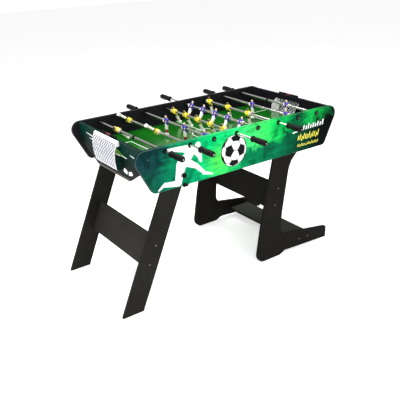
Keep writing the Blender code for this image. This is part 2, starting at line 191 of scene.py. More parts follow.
def rounded(corners, step=math.radians(12.0)):
    """Closed outline through (a, b, radius) corners, each rounded by a tangent arc."""
    points = []
    for i, (a, b, radius) in enumerate(corners):
        here = Vector((a, b))
        before = Vector(corners[i - 1][:2]) - here
        after = Vector(corners[(i + 1) % len(corners)][:2]) - here
        opening = before.angle(after)
        reach = min(radius / math.tan(opening / 2), 0.48 * before.length, 0.48 * after.length)
        if reach < 1e-6:
            points.append((a, b))
            continue
        true_radius = reach * math.tan(opening / 2)
        start, end = here + before.normalized() * reach, here + after.normalized() * reach
        bisector = (before.normalized() + after.normalized()).normalized()
        centre = here + bisector * (true_radius / math.sin(opening / 2))
        first = start - centre
        sign = 1.0 if first.x * (end - centre).y - first.y * (end - centre).x > 0 else -1.0
        pieces = max(1, math.ceil((math.pi - opening) / step))
        for j in range(pieces + 1):
            angle = sign * (math.pi - opening) * j / pieces
            points.append(tuple(centre + Matrix.Rotation(angle, 2) @ first))
    return points


def circle(a, b, radius, sides=32):
    angles = [2 * math.pi * i / sides for i in range(sides)]
    return [(a + radius * math.cos(angle), b + radius * math.sin(angle)) for angle in angles]


# ---------------------------------------------------------------- materials
def node(tree, kind, inputs=None, **settings):
    """New shader node; an input is a plain value or another node's output."""
    made = tree.nodes.new("ShaderNode" + kind)
    for key, value in settings.items():
        setattr(made, key, value)
    for key, value in (inputs or {}).items():
        socket = made.inputs[key]
        if isinstance(value, bpy.types.NodeSocket):
            tree.links.new(value, socket)
        else:
            socket.default_value = value
    return made


def linear(red, green, blue):
    """Screen values 0 to 255 as a linear colour."""
    return tuple(
        (c / 255 / 12.92 if c <= 10 else ((c / 255 + 0.055) / 1.055) ** 2.4)
        for c in (red, green, blue)
    ) + (1.0,)


def new_material(name, **shader_values):
    """Material with its tree and its shader; A_B sets the shader's own "A B" value."""
    made = bpy.data.materials.new(name)
    made.use_nodes = True
    tree = made.node_tree
    shader = tree.nodes["Principled BSDF"]
    for key, value in shader_values.items():
        shader.inputs[key.replace("_", " ")].default_value = value
    return made, tree, shader


def noise(tree, scale, stretch=(1, 1, 1), detail=4.0, roughness=0.55, turn=(0, 0, 0), distort=0.0):
    """Noise over the object's own coordinates, stretched and turned as asked."""
    where = node(tree, "TexCoord").outputs["Object"]
    if stretch != (1, 1, 1) or turn != (0, 0, 0):
        placing = {"Vector": where, "Scale": stretch, "Rotation": turn}
        where = node(tree, "Mapping", placing).outputs[0]
    return node(tree, "TexNoise", {
        "Vector": where, "Scale": scale, "Detail": detail, "Roughness": roughness,
        "Distortion": distort,
    }).outputs[0]


def ramp(tree, factor, stops):
    """Colour ramp through (position, colour) stops; a colour is (r, g, b, 1) or screen values."""
    made = node(tree, "ValToRGB", {"Fac": factor})
    elements = made.color_ramp.elements
    while len(elements) < len(stops):
        elements.new(0.5)
    for element, (position, colour) in zip(elements, stops):
        element.position = position
        element.color = linear(*colour) if len(colour) == 3 else colour
    return made.outputs["Color"]


def spread(tree, value, low, high, to_low, to_high):
    """Maps low..high to to_low..to_high."""
    return node(tree, "MapRange", {
        "Value": value, "From Min": low, "From Max": high, "To Min": to_low, "To Max": to_high,
    }).outputs[0]


def mix(tree, factor, first, second, blend="MIX"):
    inputs = {0: factor, 6: first, 7: second}
    return node(tree, "Mix", inputs, data_type="RGBA", blend_type=blend).outputs[2]


def maths(tree, operation, first, second=0.0):
    return node(tree, "Math", {0: first, 1: second}, operation=operation).outputs[0]


def surface(tree, shader, colour, gloss, rough, grain, depth):
    """Wires the colour, a roughness that follows gloss, and a fine bump from grain."""
    tree.links.new(colour, shader.inputs["Base Color"])
    tree.links.new(spread(tree, gloss, 0.3, 0.7, *rough), shader.inputs["Roughness"])
    relief = node(tree, "Bump", {"Height": grain, "Distance": depth})
    tree.links.new(relief.outputs[0], shader.inputs["Normal"])


def plastic(name, dark, light, rough, scale, grain, depth=0.00008, specular=0.5):
    """Moulded or painted plastic: mottled colour, uneven gloss and a fine moulded grain."""
    made, tree, shader = new_material(name, Specular_IOR_Level=specular)
    colour = ramp(tree, noise(tree, scale, detail=5.0), [(0.35, dark), (0.65, light)])
    fine = noise(tree, grain, detail=3.0)
    surface(tree, shader, colour, noise(tree, scale * 2.3), rough, fine, depth)
    return made


def metal(name, dark, light, rough, scale=60.0, stretch=(1, 0.15, 1)):
    """Plated or drawn steel: fine drawing marks along Y and a smeared gloss."""
    made, tree, shader = new_material(name, Metallic=1.0)
    marks = noise(tree, scale * 9, stretch, 4.0)
    colour = ramp(tree, noise(tree, scale, stretch, 3.0), [(0.3, dark), (0.7, light)])
    surface(tree, shader, colour, marks, rough, marks, 0.00002)
    return made


def board(name, dark, light, rough=(0.5, 0.66), specular=0.07, top=None):
    """Black melamine board: faint wood pores, a slight cloudiness and a fine embossed grain."""
    made, tree, shader = new_material(name, Specular_IOR_Level=specular)
    pores = noise(tree, 260.0, (1, 1, 0.12), 5.0, 0.7)
    colour = ramp(tree, noise(tree, 9.0), [(0.3, dark), (0.7, light)])
    flecks = ramp(tree, pores, [(0.32, (0.55, 0.55, 0.55, 1)), (0.52, (1, 1, 1, 1))])
    # with top given, faces that point up get that lighter colour: painted light from above
    if top:
        normal = node(tree, "NewGeometry").outputs["True Normal"]
        upright = node(tree, "SeparateXYZ", {"Vector": normal}).outputs["Z"]
        colour = mix(tree, maths(tree, "GREATER_THAN", upright, 0.9), colour, linear(*top))
    colour = mix(tree, 1.0, colour, flecks, "MULTIPLY")
    surface(tree, shader, colour, pores, rough, pores, 0.00012)
    return made


LEG_BLACK = board("leg_board_black", (24, 23, 20), (32, 31, 27))
# darker copy of the leg board for the stand: painted shade, as the stand gets less of the front
# light
STAND_SHADED_BLACK = board("stand_board_painted_shade", (17, 16, 13), (24, 22, 18), specular=0.05)
BAR_BLACK = board("crossbar_black", (38, 37, 33), (45, 43, 39), specular=0.08)
# the foot plank's top face is painted lighter: painted light from above
FOOT_BLACK_LIT_TOP = board("foot_plank_painted_top_light", (24, 23, 20), (32, 31, 27), top=(66, 68, 61))
PANEL_BLACK = board("cabinet_board_black", (20, 20, 23), (29, 29, 33), (0.4, 0.52), 0.08)

CHROME = metal("chromed_steel", (226, 226, 219), (243, 242, 237), (0.05, 0.12))
CORE_STEEL = metal("drawn_steel", (150, 150, 148), (196, 194, 190), (0.2, 0.34))
ZINC = metal("zinc_screw", (150, 150, 146), (214, 212, 204), (0.25, 0.42), 300, (1, 1, 1))
DULL_ZINC = metal("dull_zinc_screw", (96, 95, 90), (140, 138, 130), (0.34, 0.5), 300, (1, 1, 1))

# plastics, paints and inks: dark and light tone, roughness range, scales of mottle and grain,
# depth of the grain, specular level
EDGE = (60, 500, 0.00008)
# pale grey-green edge band: painted sheen of the overhead light on a dark board edge
BOARD_EDGE_SHEEN = plastic("edge_band_painted_sheen", (70, 84, 80), (96, 110, 104), (0.4, 0.55), *EDGE, 0.1)
TRIM_BROWN = plastic("trim_grey_brown", (74, 66, 58), (92, 84, 74), (0.5, 0.64), *EDGE, 0.2)
SOFT = (180, 1400, 0.00006)
RUBBER = plastic("black_rubber", (7, 7, 8), (14, 13, 14), (0.45, 0.6), *SOFT, 0.1)
TURNED = (140, 1200, 0.00004)
NYLON = plastic("black_nylon", (6, 6, 7), (12, 12, 13), (0.34, 0.46), *TURNED, 0.06)
GREY_NYLON = plastic("grey_nylon", (52, 54, 54), (72, 74, 73), (0.35, 0.5), 140, 1200, specular=0.3)
BOLT_CAP = plastic("bolt_cap_dark", (24, 24, 24), (36, 36, 36), (0.4, 0.5), 140, 900, specular=0.25)
INK = ((0.34, 0.46), 40, 700, 0.00002)
WHITE_FILM = plastic("white_ink", (226, 232, 228), (240, 244, 240), *INK, 0.2)
BLACK_FILM = plastic("black_ink", (7, 9, 9), (14, 16, 16), *INK, 0.06)
GREY_FILM = plastic("grey_ink", (62, 68, 64), (82, 90, 85), *INK, 0.1)
YELLOW_FILM = plastic("yellow_ink", (222, 214, 52), (244, 234, 96), *INK, 0.2)
OLIVE_FILM = plastic("olive_ink", (62, 104, 36), (92, 138, 54), *INK, 0.2)
PITCH_WHITE = plastic("pitch_line_ink", (214, 222, 214), (232, 238, 230), (0.2, 0.3), *INK[1:])
GOAL_WHITE = plastic("goal_plastic_white", (206, 207, 212), (222, 223, 227), (0.34, 0.48), 50, 800)
# dark lilac sheet under the outer net: painted shade of the hood's inside, seen through the net's
# holes
NET_HOLE_SHADE = plastic("net_hole_painted_shade", (36, 35, 46), (52, 50, 66), (0.4, 0.55), 90, 800,
                      specular=0.1)
# dark sheet inside the goal: painted shade of the hood's inside, behind the inner net
GOAL_INSIDE_SHADE = plastic("goal_inside_painted_shade", (24, 24, 28), (40, 39, 45), (0.4, 0.55), 90, 800)
CHEEK_CREAM = plastic("goal_cheek_cream", (240, 239, 232), (250, 249, 243), (0.34, 0.48), 60, 800)
GRAIN = (160, 900, 0.00005)
PAINT = ((0.3, 0.45), *GRAIN)
YELLOW_SHIRT = plastic("yellow_shirt", (246, 222, 30), (255, 244, 80), *PAINT)
BLUE_SHIRT = plastic("blue_shirt", (38, 32, 120), (64, 56, 168), *PAINT)
WHITE_PAINT = plastic("white_paint", (240, 239, 232), (252, 251, 246), *PAINT)
CREAM_PAINT = plastic("cream_paint", (242, 238, 216), (252, 249, 232), *PAINT)
BLACK_PAINT = plastic("black_paint", (14, 14, 16), (26, 26, 28), (0.32, 0.46), *GRAIN)
RED_PAINT = plastic("red_paint", (132, 26, 22), (170, 44, 36), (0.32, 0.46), *GRAIN)
SKIN_PAINT = plastic("skin_paint", (226, 196, 158), (242, 216, 182), (0.34, 0.48), *GRAIN)
PALE_SKIN = plastic("pale_yellow_skin", (238, 206, 110), (248, 222, 136), (0.34, 0.48), *GRAIN)
HAIR_PAINT = plastic("hair_paint", (30, 20, 14), (52, 36, 26), (0.4, 0.56), 220, 700, 0.0001)
CREAM_RUBBER = plastic("cream_rubber", (188, 182, 164), (214, 208, 192), (0.42, 0.58), 200, 1100,
                       0.00005)
RED_BEAD = plastic("red_bead", (78, 8, 20), (112, 20, 34), (0.2, 0.32), 160, 900, 0.00003)


# ---------------------------------------------------------------- camera, floor and light
LENS, SENSOR = 52.77, 36.0
SHIFT_X, SHIFT_Y = -0.0043, 0.0013
YAW, PITCH, ROLL = 0.6255, 0.4139, -0.0266
CAMERA_PLACE = (-1.693, -2.355, 1.5853)
FLOOR_REACH, FLOOR_DROP, FLOOR_GLOW = 14, 0.0005, 0.55
SKY_LIGHT, SKY_SEEN = 0.42, 1.05        # the backdrop's strength as light and as seen

level = math.cos(PITCH)
ahead = Vector((math.sin(YAW) * level, math.cos(YAW) * level, -math.sin(PITCH)))
right = Vector((math.cos(YAW), -math.sin(YAW), 0))
up = right.cross(ahead)
rolled_right = right * math.cos(ROLL) + up * math.sin(ROLL)
rolled_up = up * math.cos(ROLL) - right * math.sin(ROLL)
camera_data = bpy.data.cameras.new("camera")
camera_data.lens = LENS
camera_data.sensor_width = SENSOR
camera_data.shift_x = SHIFT_X
camera_data.shift_y = SHIFT_Y
camera = bpy.data.objects.new("camera", camera_data)
turned = Matrix((rolled_right, rolled_up, -ahead)).transposed().to_4x4()
camera.matrix_world = Matrix.Translation(CAMERA_PLACE) @ turned
bpy.context.scene.collection.objects.link(camera)
bpy.context.scene.camera = camera
bpy.context.scene.view_settings.view_transform = "Standard"

made, tree, shader = new_material("studio_floor", Roughness=0.9, Specular_IOR_Level=0.1)
greys = [(0.3, (0.93, 0.93, 0.93, 1)), (0.7, (0.96, 0.96, 0.96, 1))]
tree.links.new(ramp(tree, noise(tree, 1.2), greys), shader.inputs["Base Color"])
shader.inputs["Emission Color"].default_value = (1, 1, 1, 1)
shader.inputs["Emission Strength"].default_value = FLOOR_GLOW
floor_corners = [(a * FLOOR_REACH, b * FLOOR_REACH, 0)
                 for a, b in ((-1, -1), (1, -1), (1, 1), (-1, 1))]
floor_shape = Shape().add(floor_corners, [(0, 1, 2, 3)])
floor = bpy.data.objects.new("studio_floor", mesh_of("studio_floor", floor_shape, [made], 35.0))
floor.location.z = -FLOOR_DROP
bpy.context.scene.collection.objects.link(floor)

world = bpy.data.worlds.new("studio")
bpy.context.scene.world = world
world.use_nodes = True
sky = world.node_tree
backdrop = sky.nodes["Background"]
seen = node(sky, "LightPath").outputs["Is Camera Ray"]
backdrop.inputs["Color"].default_value = (1, 1, 1, 1)
sky.links.new(spread(sky, seen, 0.0, 1.0, SKY_LIGHT, SKY_SEEN), backdrop.inputs["Strength"])

LIGHT_AIM = (0, 0, 0.6)


def soft_box(name, place, size, power):
    """Rectangular lamp that looks at the middle of the table."""
    lamp = bpy.data.lights.new(name, "AREA")
    lamp.shape = "RECTANGLE"
    lamp.size, lamp.size_y = size
    lamp.energy = power
    obj = bpy.data.objects.new(name, lamp)
    obj.location = place
    obj.rotation_euler = (Vector(LIGHT_AIM) - Vector(place)).to_track_quat("-Z", "Y").to_euler()
    bpy.context.scene.collection.objects.link(obj)


soft_box("overhead_light", (-0.3, 0.4, 3.0), (2.6, 2.2), 135)
soft_box("front_light", (-1.2, -3.2, 2.0), (2.4, 1.8), 72)
soft_box("left_light", (-3.2, -0.4, 1.8), (1.8, 1.6), 14)


# ---------------------------------------------------------------- printed boards
def by_face(tree, axis, sign, outer, inner, edge):
    """Three colours for a board: its outer face, its inner face and its edges."""
    geometry = node(tree, "NewGeometry")
    normal = node(tree, "SeparateXYZ", {"Vector": geometry.outputs["True Normal"]})
    facing = maths(tree, "MULTIPLY", normal.outputs[axis], sign)
    behind = maths(tree, "LESS_THAN", facing, -0.9)
    ahead = maths(tree, "GREATER_THAN", facing, 0.9)
    return mix(tree, ahead, mix(tree, behind, edge, inner), outer)


def place_on(tree):
    """The position on the object itself, split into X, Y and Z."""
    return node(tree, "SeparateXYZ", {"Vector": node(tree, "TexCoord").outputs["Object"]}).outputs


def painted_board(name):
    """Brushed green picture: colour runs along the board, broken up by slanting strokes."""
    made, tree, shader = new_material(name, Specular_IOR_Level=0.02)
    where = place_on(tree)
    along = spread(tree, where["X"], PANEL_LOW.x, PANEL_HIGH.x, 0.0, 1.0)
    height = spread(tree, where["Z"], PANEL_LOW.z, PANEL_HIGH.z, 0.0, 1.0)
    strokes = noise(tree, 7.0, (1.0, 1, 2.6), 5.0, 0.6, (0, 0.6, 0), 1.4)
    patches = noise(tree, 11.0, (1.5, 1, 1.0), 3.0, 0.5, (0, -0.5, 0), 0.8)
    streaks = noise(tree, 30.0, (0.35, 1, 2.4), 4.0, 0.6, (0, 0.5, 0), 0.6)
    shaken = maths(tree, "ADD", along, spread(tree, strokes, 0.0, 1.0, -0.075, 0.075))
    upper = ramp(tree, shaken, [
        (0.00, (14, 50, 54)), (0.06, (18, 60, 64)), (0.11, (10, 76, 68)), (0.15, (4, 124, 86)),
        (0.24, (4, 164, 104)), (0.34, (2, 204, 114)), (0.42, (26, 226, 124)),
        (0.50, (62, 230, 120)), (0.58, (64, 224, 104)), (0.64, (20, 198, 92)),
        (0.71, (2, 168, 80)), (0.76, (0, 82, 52)), (0.80, (2, 96, 56)), (0.85, (14, 174, 78)),
        (0.91, (4, 150, 64)), (0.955, (2, 88, 42)), (1.00, (4, 28, 24)),
    ])
    lower = ramp(tree, shaken, [
        (0.00, (12, 62, 54)), (0.08, (8, 86, 68)), (0.14, (2, 116, 84)), (0.24, (2, 158, 104)),
        (0.35, (6, 192, 114)), (0.42, (26, 212, 112)), (0.48, (2, 134, 84)),
        (0.56, (0, 116, 74)), (0.66, (0, 108, 70)), (0.73, (0, 86, 56)), (0.79, (0, 66, 42)),
        (0.85, (0, 42, 30)), (0.90, (0, 14, 12)), (1.00, (0, 3, 3)),
    ])
    lifted = maths(tree, "ADD", height, spread(tree, patches, 0.0, 1.0, -0.34, 0.34))
    lifted = maths(tree, "ADD", lifted, spread(tree, along, 0.62, 0.80, 0.0, -0.22))
    share = spread(tree, lifted, 0.42, 0.56, 0.0, 1.0)
    paint = mix(tree, share, lower, upper)
    light = ramp(tree, patches, [(0.40, (0.50, 0.58, 0.56, 1)), (0.47, (0.86, 0.88, 0.86, 1)),
                                 (0.56, (1.0, 1.0, 0.96, 1)), (0.62, (1.14, 1.08, 1.0, 1))])
    paint = mix(tree, 1.0, paint, light, "MULTIPLY")
    dashes = ramp(tree, streaks, [(0.38, (0.60, 0.70, 0.70, 1)), (0.50, (0.96, 0.97, 0.96, 1)),
                                  (0.64, (1.1, 1.08, 1.0, 1))])
    paint = mix(tree, 1.0, paint, dashes, "MULTIPLY")
    centre = (MIDDLE_X - 0.165, PANEL_LOW.y, 0.655)
    reach = node(tree, "VectorMath", {0: node(tree, "TexCoord").outputs["Object"], 1: centre},
                 operation="DISTANCE").outputs["Value"]
    glow = maths(tree, "MULTIPLY", spread(tree, reach, 0.02, 0.10, 0.85, 0.0),
                 spread(tree, streaks, 0.35, 0.6, 0.3, 1.0))
    paint = mix(tree, glow, paint, linear(90, 238, 76))
    edge = mix(tree, 0.3, paint, linear(16, 26, 26))
    colour = by_face(tree, "Y", -1, paint, linear(20, 20, 22), edge)
    surface(tree, shader, colour, strokes, (0.30, 0.42), noise(tree, 600.0), 0.00003)
    return made


def painted_end(name, sign):
    """End board: deep teal above that fades to black below."""
    made, tree, shader = new_material(name, Specular_IOR_Level=0.02)
    clouds = noise(tree, 8.0, (1, 1, 1.6), 4.0, 0.6, (0.4, 0, 0), 0.8)
    height = spread(tree, place_on(tree)["Z"], 0.60, 0.79, 0.0, 1.0)
    shaken = maths(tree, "ADD", height, spread(tree, clouds, 0.0, 1.0, -0.2, 0.2))
    paint = ramp(tree, shaken, [(0.0, (20, 21, 21)), (0.34, (20, 22, 22)), (0.55, (5, 32, 25)),
                                (0.8, (3, 48, 37)), (1.0, (4, 44, 38))])
    colour = by_face(tree, "X", sign, paint, linear(20, 18, 22), linear(10, 34, 28))
    surface(tree, shader, colour, clouds, (0.36, 0.5), noise(tree, 600.0), 0.00003)
    return made


MOWN_BANDS = 0.22               # metres from one mown band of the pitch to the next


def pitch_board(name):
    """Glossy printed pitch: even grass green with broad mown bands and a lacquered surface."""
    made, tree, shader = new_material(name, Specular_IOR_Level=0.8, Coat_Weight=0.6,
                                      Coat_Roughness=0.16)
    turns = maths(tree, "MULTIPLY", place_on(tree)["X"], 2 * math.pi / MOWN_BANDS)
    bands = maths(tree, "SINE", turns)
    blades = noise(tree, 420.0, (1, 1, 1), 5.0, 0.7)
    factor = maths(tree, "ADD", spread(tree, bands, -0.2, 0.2, 0.42, 0.58),
                   spread(tree, blades, 0.0, 1.0, -0.25, 0.25))
    paint = ramp(tree, factor, [(0.1, (4, 76, 6)), (0.5, (8, 91, 10)), (0.9, (16, 106, 18))])
    surface(tree, shader, paint, blades, (0.16, 0.24), blades, 0.00002)
    return made


FRONT_ART = painted_board("front_picture")
END_LEFT_ART = painted_end("left_end_picture", -1)
END_RIGHT_ART = painted_end("right_end_picture", 1)
PITCH_GREEN = pitch_board("pitch_print")


def dress(node_name, materials, ease, edge_slot=None):
    """Gives a carried-over CAD node its material and soft edges."""
    obj = NODES[node_name]
    for index, material in enumerate(materials):
        if index < len(obj.material_slots):
            obj.material_slots[index].material = material
        else:
            obj.data.materials.append(material)
    weld = obj.modifiers.new("weld", "WELD")
    weld.merge_threshold = 1e-5
    if ease:
        soft = obj.modifiers.new("soft_edges", "BEVEL")
        soft.width = ease
        soft.segments = 2
        soft.limit_method = "ANGLE"
        soft.angle_limit = math.radians(32)
        if edge_slot is not None:
            soft.material = edge_slot


# bevelled edges take slot 1, the edge band with its painted sheen
dress("side_panel_front", [FRONT_ART, BOARD_EDGE_SHEEN], 0.0012, 1)
dress("side_panel_back", [PANEL_BLACK], 0.0012)
dress("end_panel_left", [END_LEFT_ART, BOARD_EDGE_SHEEN], 0.0010, 1)
dress("end_panel_right", [END_RIGHT_ART, BOARD_EDGE_SHEEN], 0.0010, 1)
dress("playfield", [PITCH_GREEN], 0.0)
for name in ("left_leg_front", "left_leg_back"):
    dress(name, [LEG_BLACK], 0.0010)
for name in ("stand_side_front", "stand_side_back", "stand_crossbar"):
    dress(name, [STAND_SHADED_BLACK], 0.0010)
dress("left_leg_crossbar", [BAR_BLACK], 0.0010)
dress("stand_foot_plank", [FOOT_BLACK_LIT_TOP], 0.0010)


# ---------------------------------------------------------------- men
def squircle(z, depth, width, shift, power, sides=24):
    """One level of a moulded figure: a rounded-square section."""
    ring = []
    for i in range(sides):
        angle = 2 * math.pi * i / sides
        c, s = math.cos(angle), math.sin(angle)
        x = math.copysign(abs(c) ** (2 / power), c) * depth
        y = math.copysign(abs(s) ** (2 / power), s) * width
        ring.append(Vector((x + shift, y, z)))
    return ring


SHIRT, SHORTS, LEG, SOCK, SHOE, SKIN, HAIR, HAND = range(8)
# height, half depth, half width and shift forward in millimetres, squareness, paint above
LOWER_BODY = [
    (-74.5, 6.6, 8.8, 0.4, 3.6, SHOE), (-73.9, 7.8, 10, 0.5, 3.6, SHOE),
    (-72.2, 8.2, 10.5, 0.5, 3.6, SHOE), (-67.6, 8.1, 10.4, 0.4, 3.4, SHOE),
    (-64, 7, 9.4, 0.1, 3.0, SHOE), (-61.2, 5.6, 8.5, 0, 2.8, SOCK),
    (-59.6, 5.2, 8.2, 0, 2.7, SOCK), (-52, 5.6, 8.6, 0, 2.7, SOCK),
    (-46.2, 5.7, 8.9, 0, 2.7, SOCK), (-44.6, 6, 9.2, 0, 2.7, SOCK),
    (-43.2, 5.5, 8.7, 0, 2.7, LEG), (-36, 5.5, 8.8, 0.2, 2.7, LEG),
    (-30, 5.9, 9.4, 0.3, 2.7, LEG), (-26.2, 6.1, 9.7, 0.2, 2.7, SHORTS),
    (-25.6, 7, 10.7, 0, 2.9, SHORTS), (-18, 7.1, 10.9, 0, 2.9, SHORTS),
    (-12.2, 7.4, 11.2, 0, 2.9, SHIRT), (-11.4, 8.6, 12.4, 0, 2.9, SHIRT),
    (-7.6, 8.8, 12.4, 0, 2.9, SHIRT),
]
UPPER_BODY = [
    (7.4, 8.4, 12.2, 0, 2.9, SHIRT), (9.2, 8.8, 13.6, 0, 2.8, SHIRT),
    (12, 8.2, 14, -0.2, 2.6, SHIRT), (14.2, 5.8, 10.8, -0.3, 2.4, SHIRT),
    (14.9, 3.6, 5.2, -0.2, 2.2, SKIN), (15.6, 3.1, 4, 0, 2.0, SKIN),
    (16.6, 3.2, 4.1, 0.4, 2.0, SKIN),
]
HEAD_CENTRE, HEAD_SIZE = 0.0216, (0.0068, 0.0066, 0.0070)


def add_body(shape):
    """Feet to shoulders, with the hub that the tube runs through."""
    for levels in (LOWER_BODY, UPPER_BODY):
        rings = [squircle(*mm(size)[0], power) for *size, power, _ in levels]
        shape.loft(rings, [paint for *_, paint in levels[:-1]])
    hub = mm((-13, 6.6), (-13, 10.2), (-12, 11.2), (12, 11.2), (13, 10.2), (13, 6.6))
    shape.lathe((0, 0, 0), Y_AXIS, hub, 40, SHIRT, loop=True)


def add_limbs(shape, side):
    """One side's shank, toe cap, arm and hands."""
    # the leg parting, front and back, is a shallow groove between two rounded shanks
    for height, paint in ((-0.0345, LEG), (-0.0520, SOCK)):
        shank = [squircle(height - 0.0075, 0.0046, 0.0036, 0.0014, 2.2, 16),
                 squircle(height, 0.0052, 0.0040, 0.0016, 2.2, 16),
                 squircle(height + 0.0075, 0.0046, 0.0036, 0.0014, 2.2, 16)]
        aside = Vector((0, side * 0.0050, 0))
        shape.loft([[p + aside for p in ring] for ring in shank], paint)
    # flat hand moulded against the hip
    rings = []
    for out, size in ((0.0100, 1.0), (0.0130, 1.0), (0.0137, 0.90), (0.0140, 0.66)):
        rings.append([Vector((0.0006 + p.x, side * out, p.y - 0.0141))
                      for p in squircle(0, 0.0046 * size, 0.0072 * size, 0.0, 3.0, 24)])
    shape.loft(rings, HAND)
    # toe cap, sleeve, forearm and hand
    toe = [squircle(z, d, 0.0043, 0.0044, 2.8, 16)
           for z, d in mm((-73.8, 5), (-70, 5.6), (-66.2, 4.4))]
    shape.loft([[p + Vector((0, side * 0.0053, 0)) for p in ring] for ring in toe], SHOE)
    shoulder = Vector((0.0020, side * 0.0122, 0.0108))
    elbow = Vector((0.0106, side * 0.0118, 0.0036))
    hand = Vector((0.0118, side * 0.0090, -0.0052))
    shape.lathe(shoulder, elbow - shoulder, mm(
        (-1.6, 0.8), (-1, 2.6), (0, 3.4), (5, 3.3), (8.8, 3), (9.4, 1.8),
    ), 14, SHIRT)
    shape.lathe(elbow, hand - elbow, mm(
        (-0.8, 1.4), (0, 2.3), (6, 2), (7.4, 2.5), (9.2, 2.1), (10, 0.8),
    ), 14, SKIN)


def add_head(shape):
    """Head, a little longer than wide, with nose, ears and a cap of hair behind."""
    rings = []
    steps = 14
    for i in range(steps + 1):
        polar = math.pi * (0.02 + 0.96 * i / steps)
        z = HEAD_CENTRE - HEAD_SIZE[2] * math.cos(polar)
        size = math.sin(polar)
        narrow = 0.86 if z < HEAD_CENTRE else 1.0
        width = HEAD_SIZE[1] * size * narrow
        rings.append(squircle(z, HEAD_SIZE[0] * size, width, 0.0004, 2.2, 28))
    shape.loft(rings, SKIN)
    shape.lathe((0.0060, 0, 0.0200), X_AXIS, mm((-1, 1), (0.4, 0.9), (0.9, 0.4)), 12, SKIN)
    for side in (-1, 1):
        shape.lathe((0.0, side * 0.0050, 0.0204), (0, side, 0),
                    mm((0, 1.4), (0.7, 1.3), (1, 0.6)), 12, SKIN)
    hair = []
    for i in range(12):
        polar = math.pi * (0.03 + 0.52 * i / 11)
        z = HEAD_CENTRE + (HEAD_SIZE[2] + 0.0002) * math.cos(polar)
        size = math.sin(polar)
        back = max(0.0, math.cos(polar) - 0.25) * 0.0016
        hair.append(squircle(z, HEAD_SIZE[0] * size * 1.06, HEAD_SIZE[1] * size * 1.07,
                             -0.0011 + back, 2.3, 28))
    shape.loft(hair, HAIR)
    nape = [squircle(z, d, w, shift, 2.2, 20) for z, d, w, shift in (
        (0.0168, 0.0014, 0.0030, -0.0034), (0.0180, 0.0020, 0.0044, -0.0036),
        (0.0206, 0.0022, 0.0050, -0.0036), (0.0226, 0.0020, 0.0048, -0.0034))]
    shape.loft(nape, HAIR)


def figure(facing):
    """One man about the rod's axis, facing +X or -X, in one moulding with painted zones."""
    shape = Shape()
    add_body(shape)
    for side in (-1, 1):
        add_limbs(shape, side)
    add_head(shape)
    if facing < 0:
        shape.moved(Matrix.Scale(-1, 4, X_AXIS))
    return shape


# ---------------------------------------------------------------- rods
SWINGS = (48.0, -125.0, 0.0, 27.0, -25.0, 14.0, 3.0, 0.0)
YELLOW_TEAM = [YELLOW_SHIRT, BLACK_PAINT, CREAM_PAINT, CREAM_PAINT, WHITE_PAINT, PALE_SKIN,
               HAIR_PAINT, YELLOW_SHIRT]
BLUE_TEAM = [BLUE_SHIRT, WHITE_PAINT, CREAM_PAINT, RED_PAINT, WHITE_PAINT, SKIN_PAINT,
             HAIR_PAINT, BLUE_SHIRT]
BUMPER_LENGTH, BUMPER_RADIUS = 0.0095, 0.0098
MAN_REACH, KEEPER_STOP = 0.0143, 0.1500
TUBE_RADIUS, TUBE_BORE, CORE_RADIUS = 0.00635, 0.0052, 0.0044
GRIP_BORE, GRIP_DEPTH, GRIP_SCREW_PLACE = 0.0066, 0.0840, 0.0951
BARREL_START = 0.029            # from the grip's inner end to its fluted barrel
TUBE_HOLE, CORE_HOLE, SLEEVE_RADIUS = 0.0067, 0.0048, 0.0083


def grip_flutes(along, angle):
    """Shallow lengthwise flutes on the grip's barrel, fading out at both ends."""
    fade = max(0.0, min(1.0, (along - 0.026) / 0.008)) * max(0.0, min(1.0, (0.087 - along) / 0.006))
    rings = 0.010 * math.cos(2 * math.pi * along / 0.0115) * fade
    return 1.0 + (rings - 0.030 * (0.5 + 0.5 * math.cos(12 * angle)) ** 3) * fade


def bumper_ring(start, away):
    """Rubber ring with one groove, from its face at start."""
    return Shape().lathe(start, away, [
        (0.0, 0.0064), (0.0, BUMPER_RADIUS - 0.0014), (0.0010, BUMPER_RADIUS),
        (0.0040, BUMPER_RADIUS), (0.0047, BUMPER_RADIUS - 0.0009),
        (0.0054, BUMPER_RADIUS), (0.0078, BUMPER_RADIUS), (0.0088, BUMPER_RADIUS - 0.0010),
        (BUMPER_LENGTH, BUMPER_RADIUS - 0.0028), (BUMPER_LENGTH, 0.0064),
    ], 36, 0, loop=True)


def make_tube(rod_name, tail, outward, length):
    """Chromed outer tube, open at both ends."""
    shape = Shape().lathe(tail, outward, [
        (0.0, TUBE_BORE), (0.0, TUBE_RADIUS - 0.0005), (0.0005, TUBE_RADIUS),
        (length * 0.33, TUBE_RADIUS), (length * 0.66, TUBE_RADIUS), (length, TUBE_RADIUS),
        (length, TUBE_BORE),
    ], 40, 0, loop=True)
    piece(rod_name + "_chrome_tube", shape, CHROME, rod_name, "steel", [rod_name + "_tube"])


def make_core(rod_name, start, outward, length):
    """Inner shaft that the tube slides along."""
    shape = Shape().lathe(start, outward, [
        (0.0, CORE_RADIUS - 0.0006), (0.0006, CORE_RADIUS), (length * 0.5, CORE_RADIUS),
        (length - 0.0010, CORE_RADIUS), (length, CORE_RADIUS - 0.0012),
    ], 32)
    piece(rod_name + "_shaft", shape, CORE_STEEL, rod_name + "_bearing", "steel",
          [rod_name + "_core"])


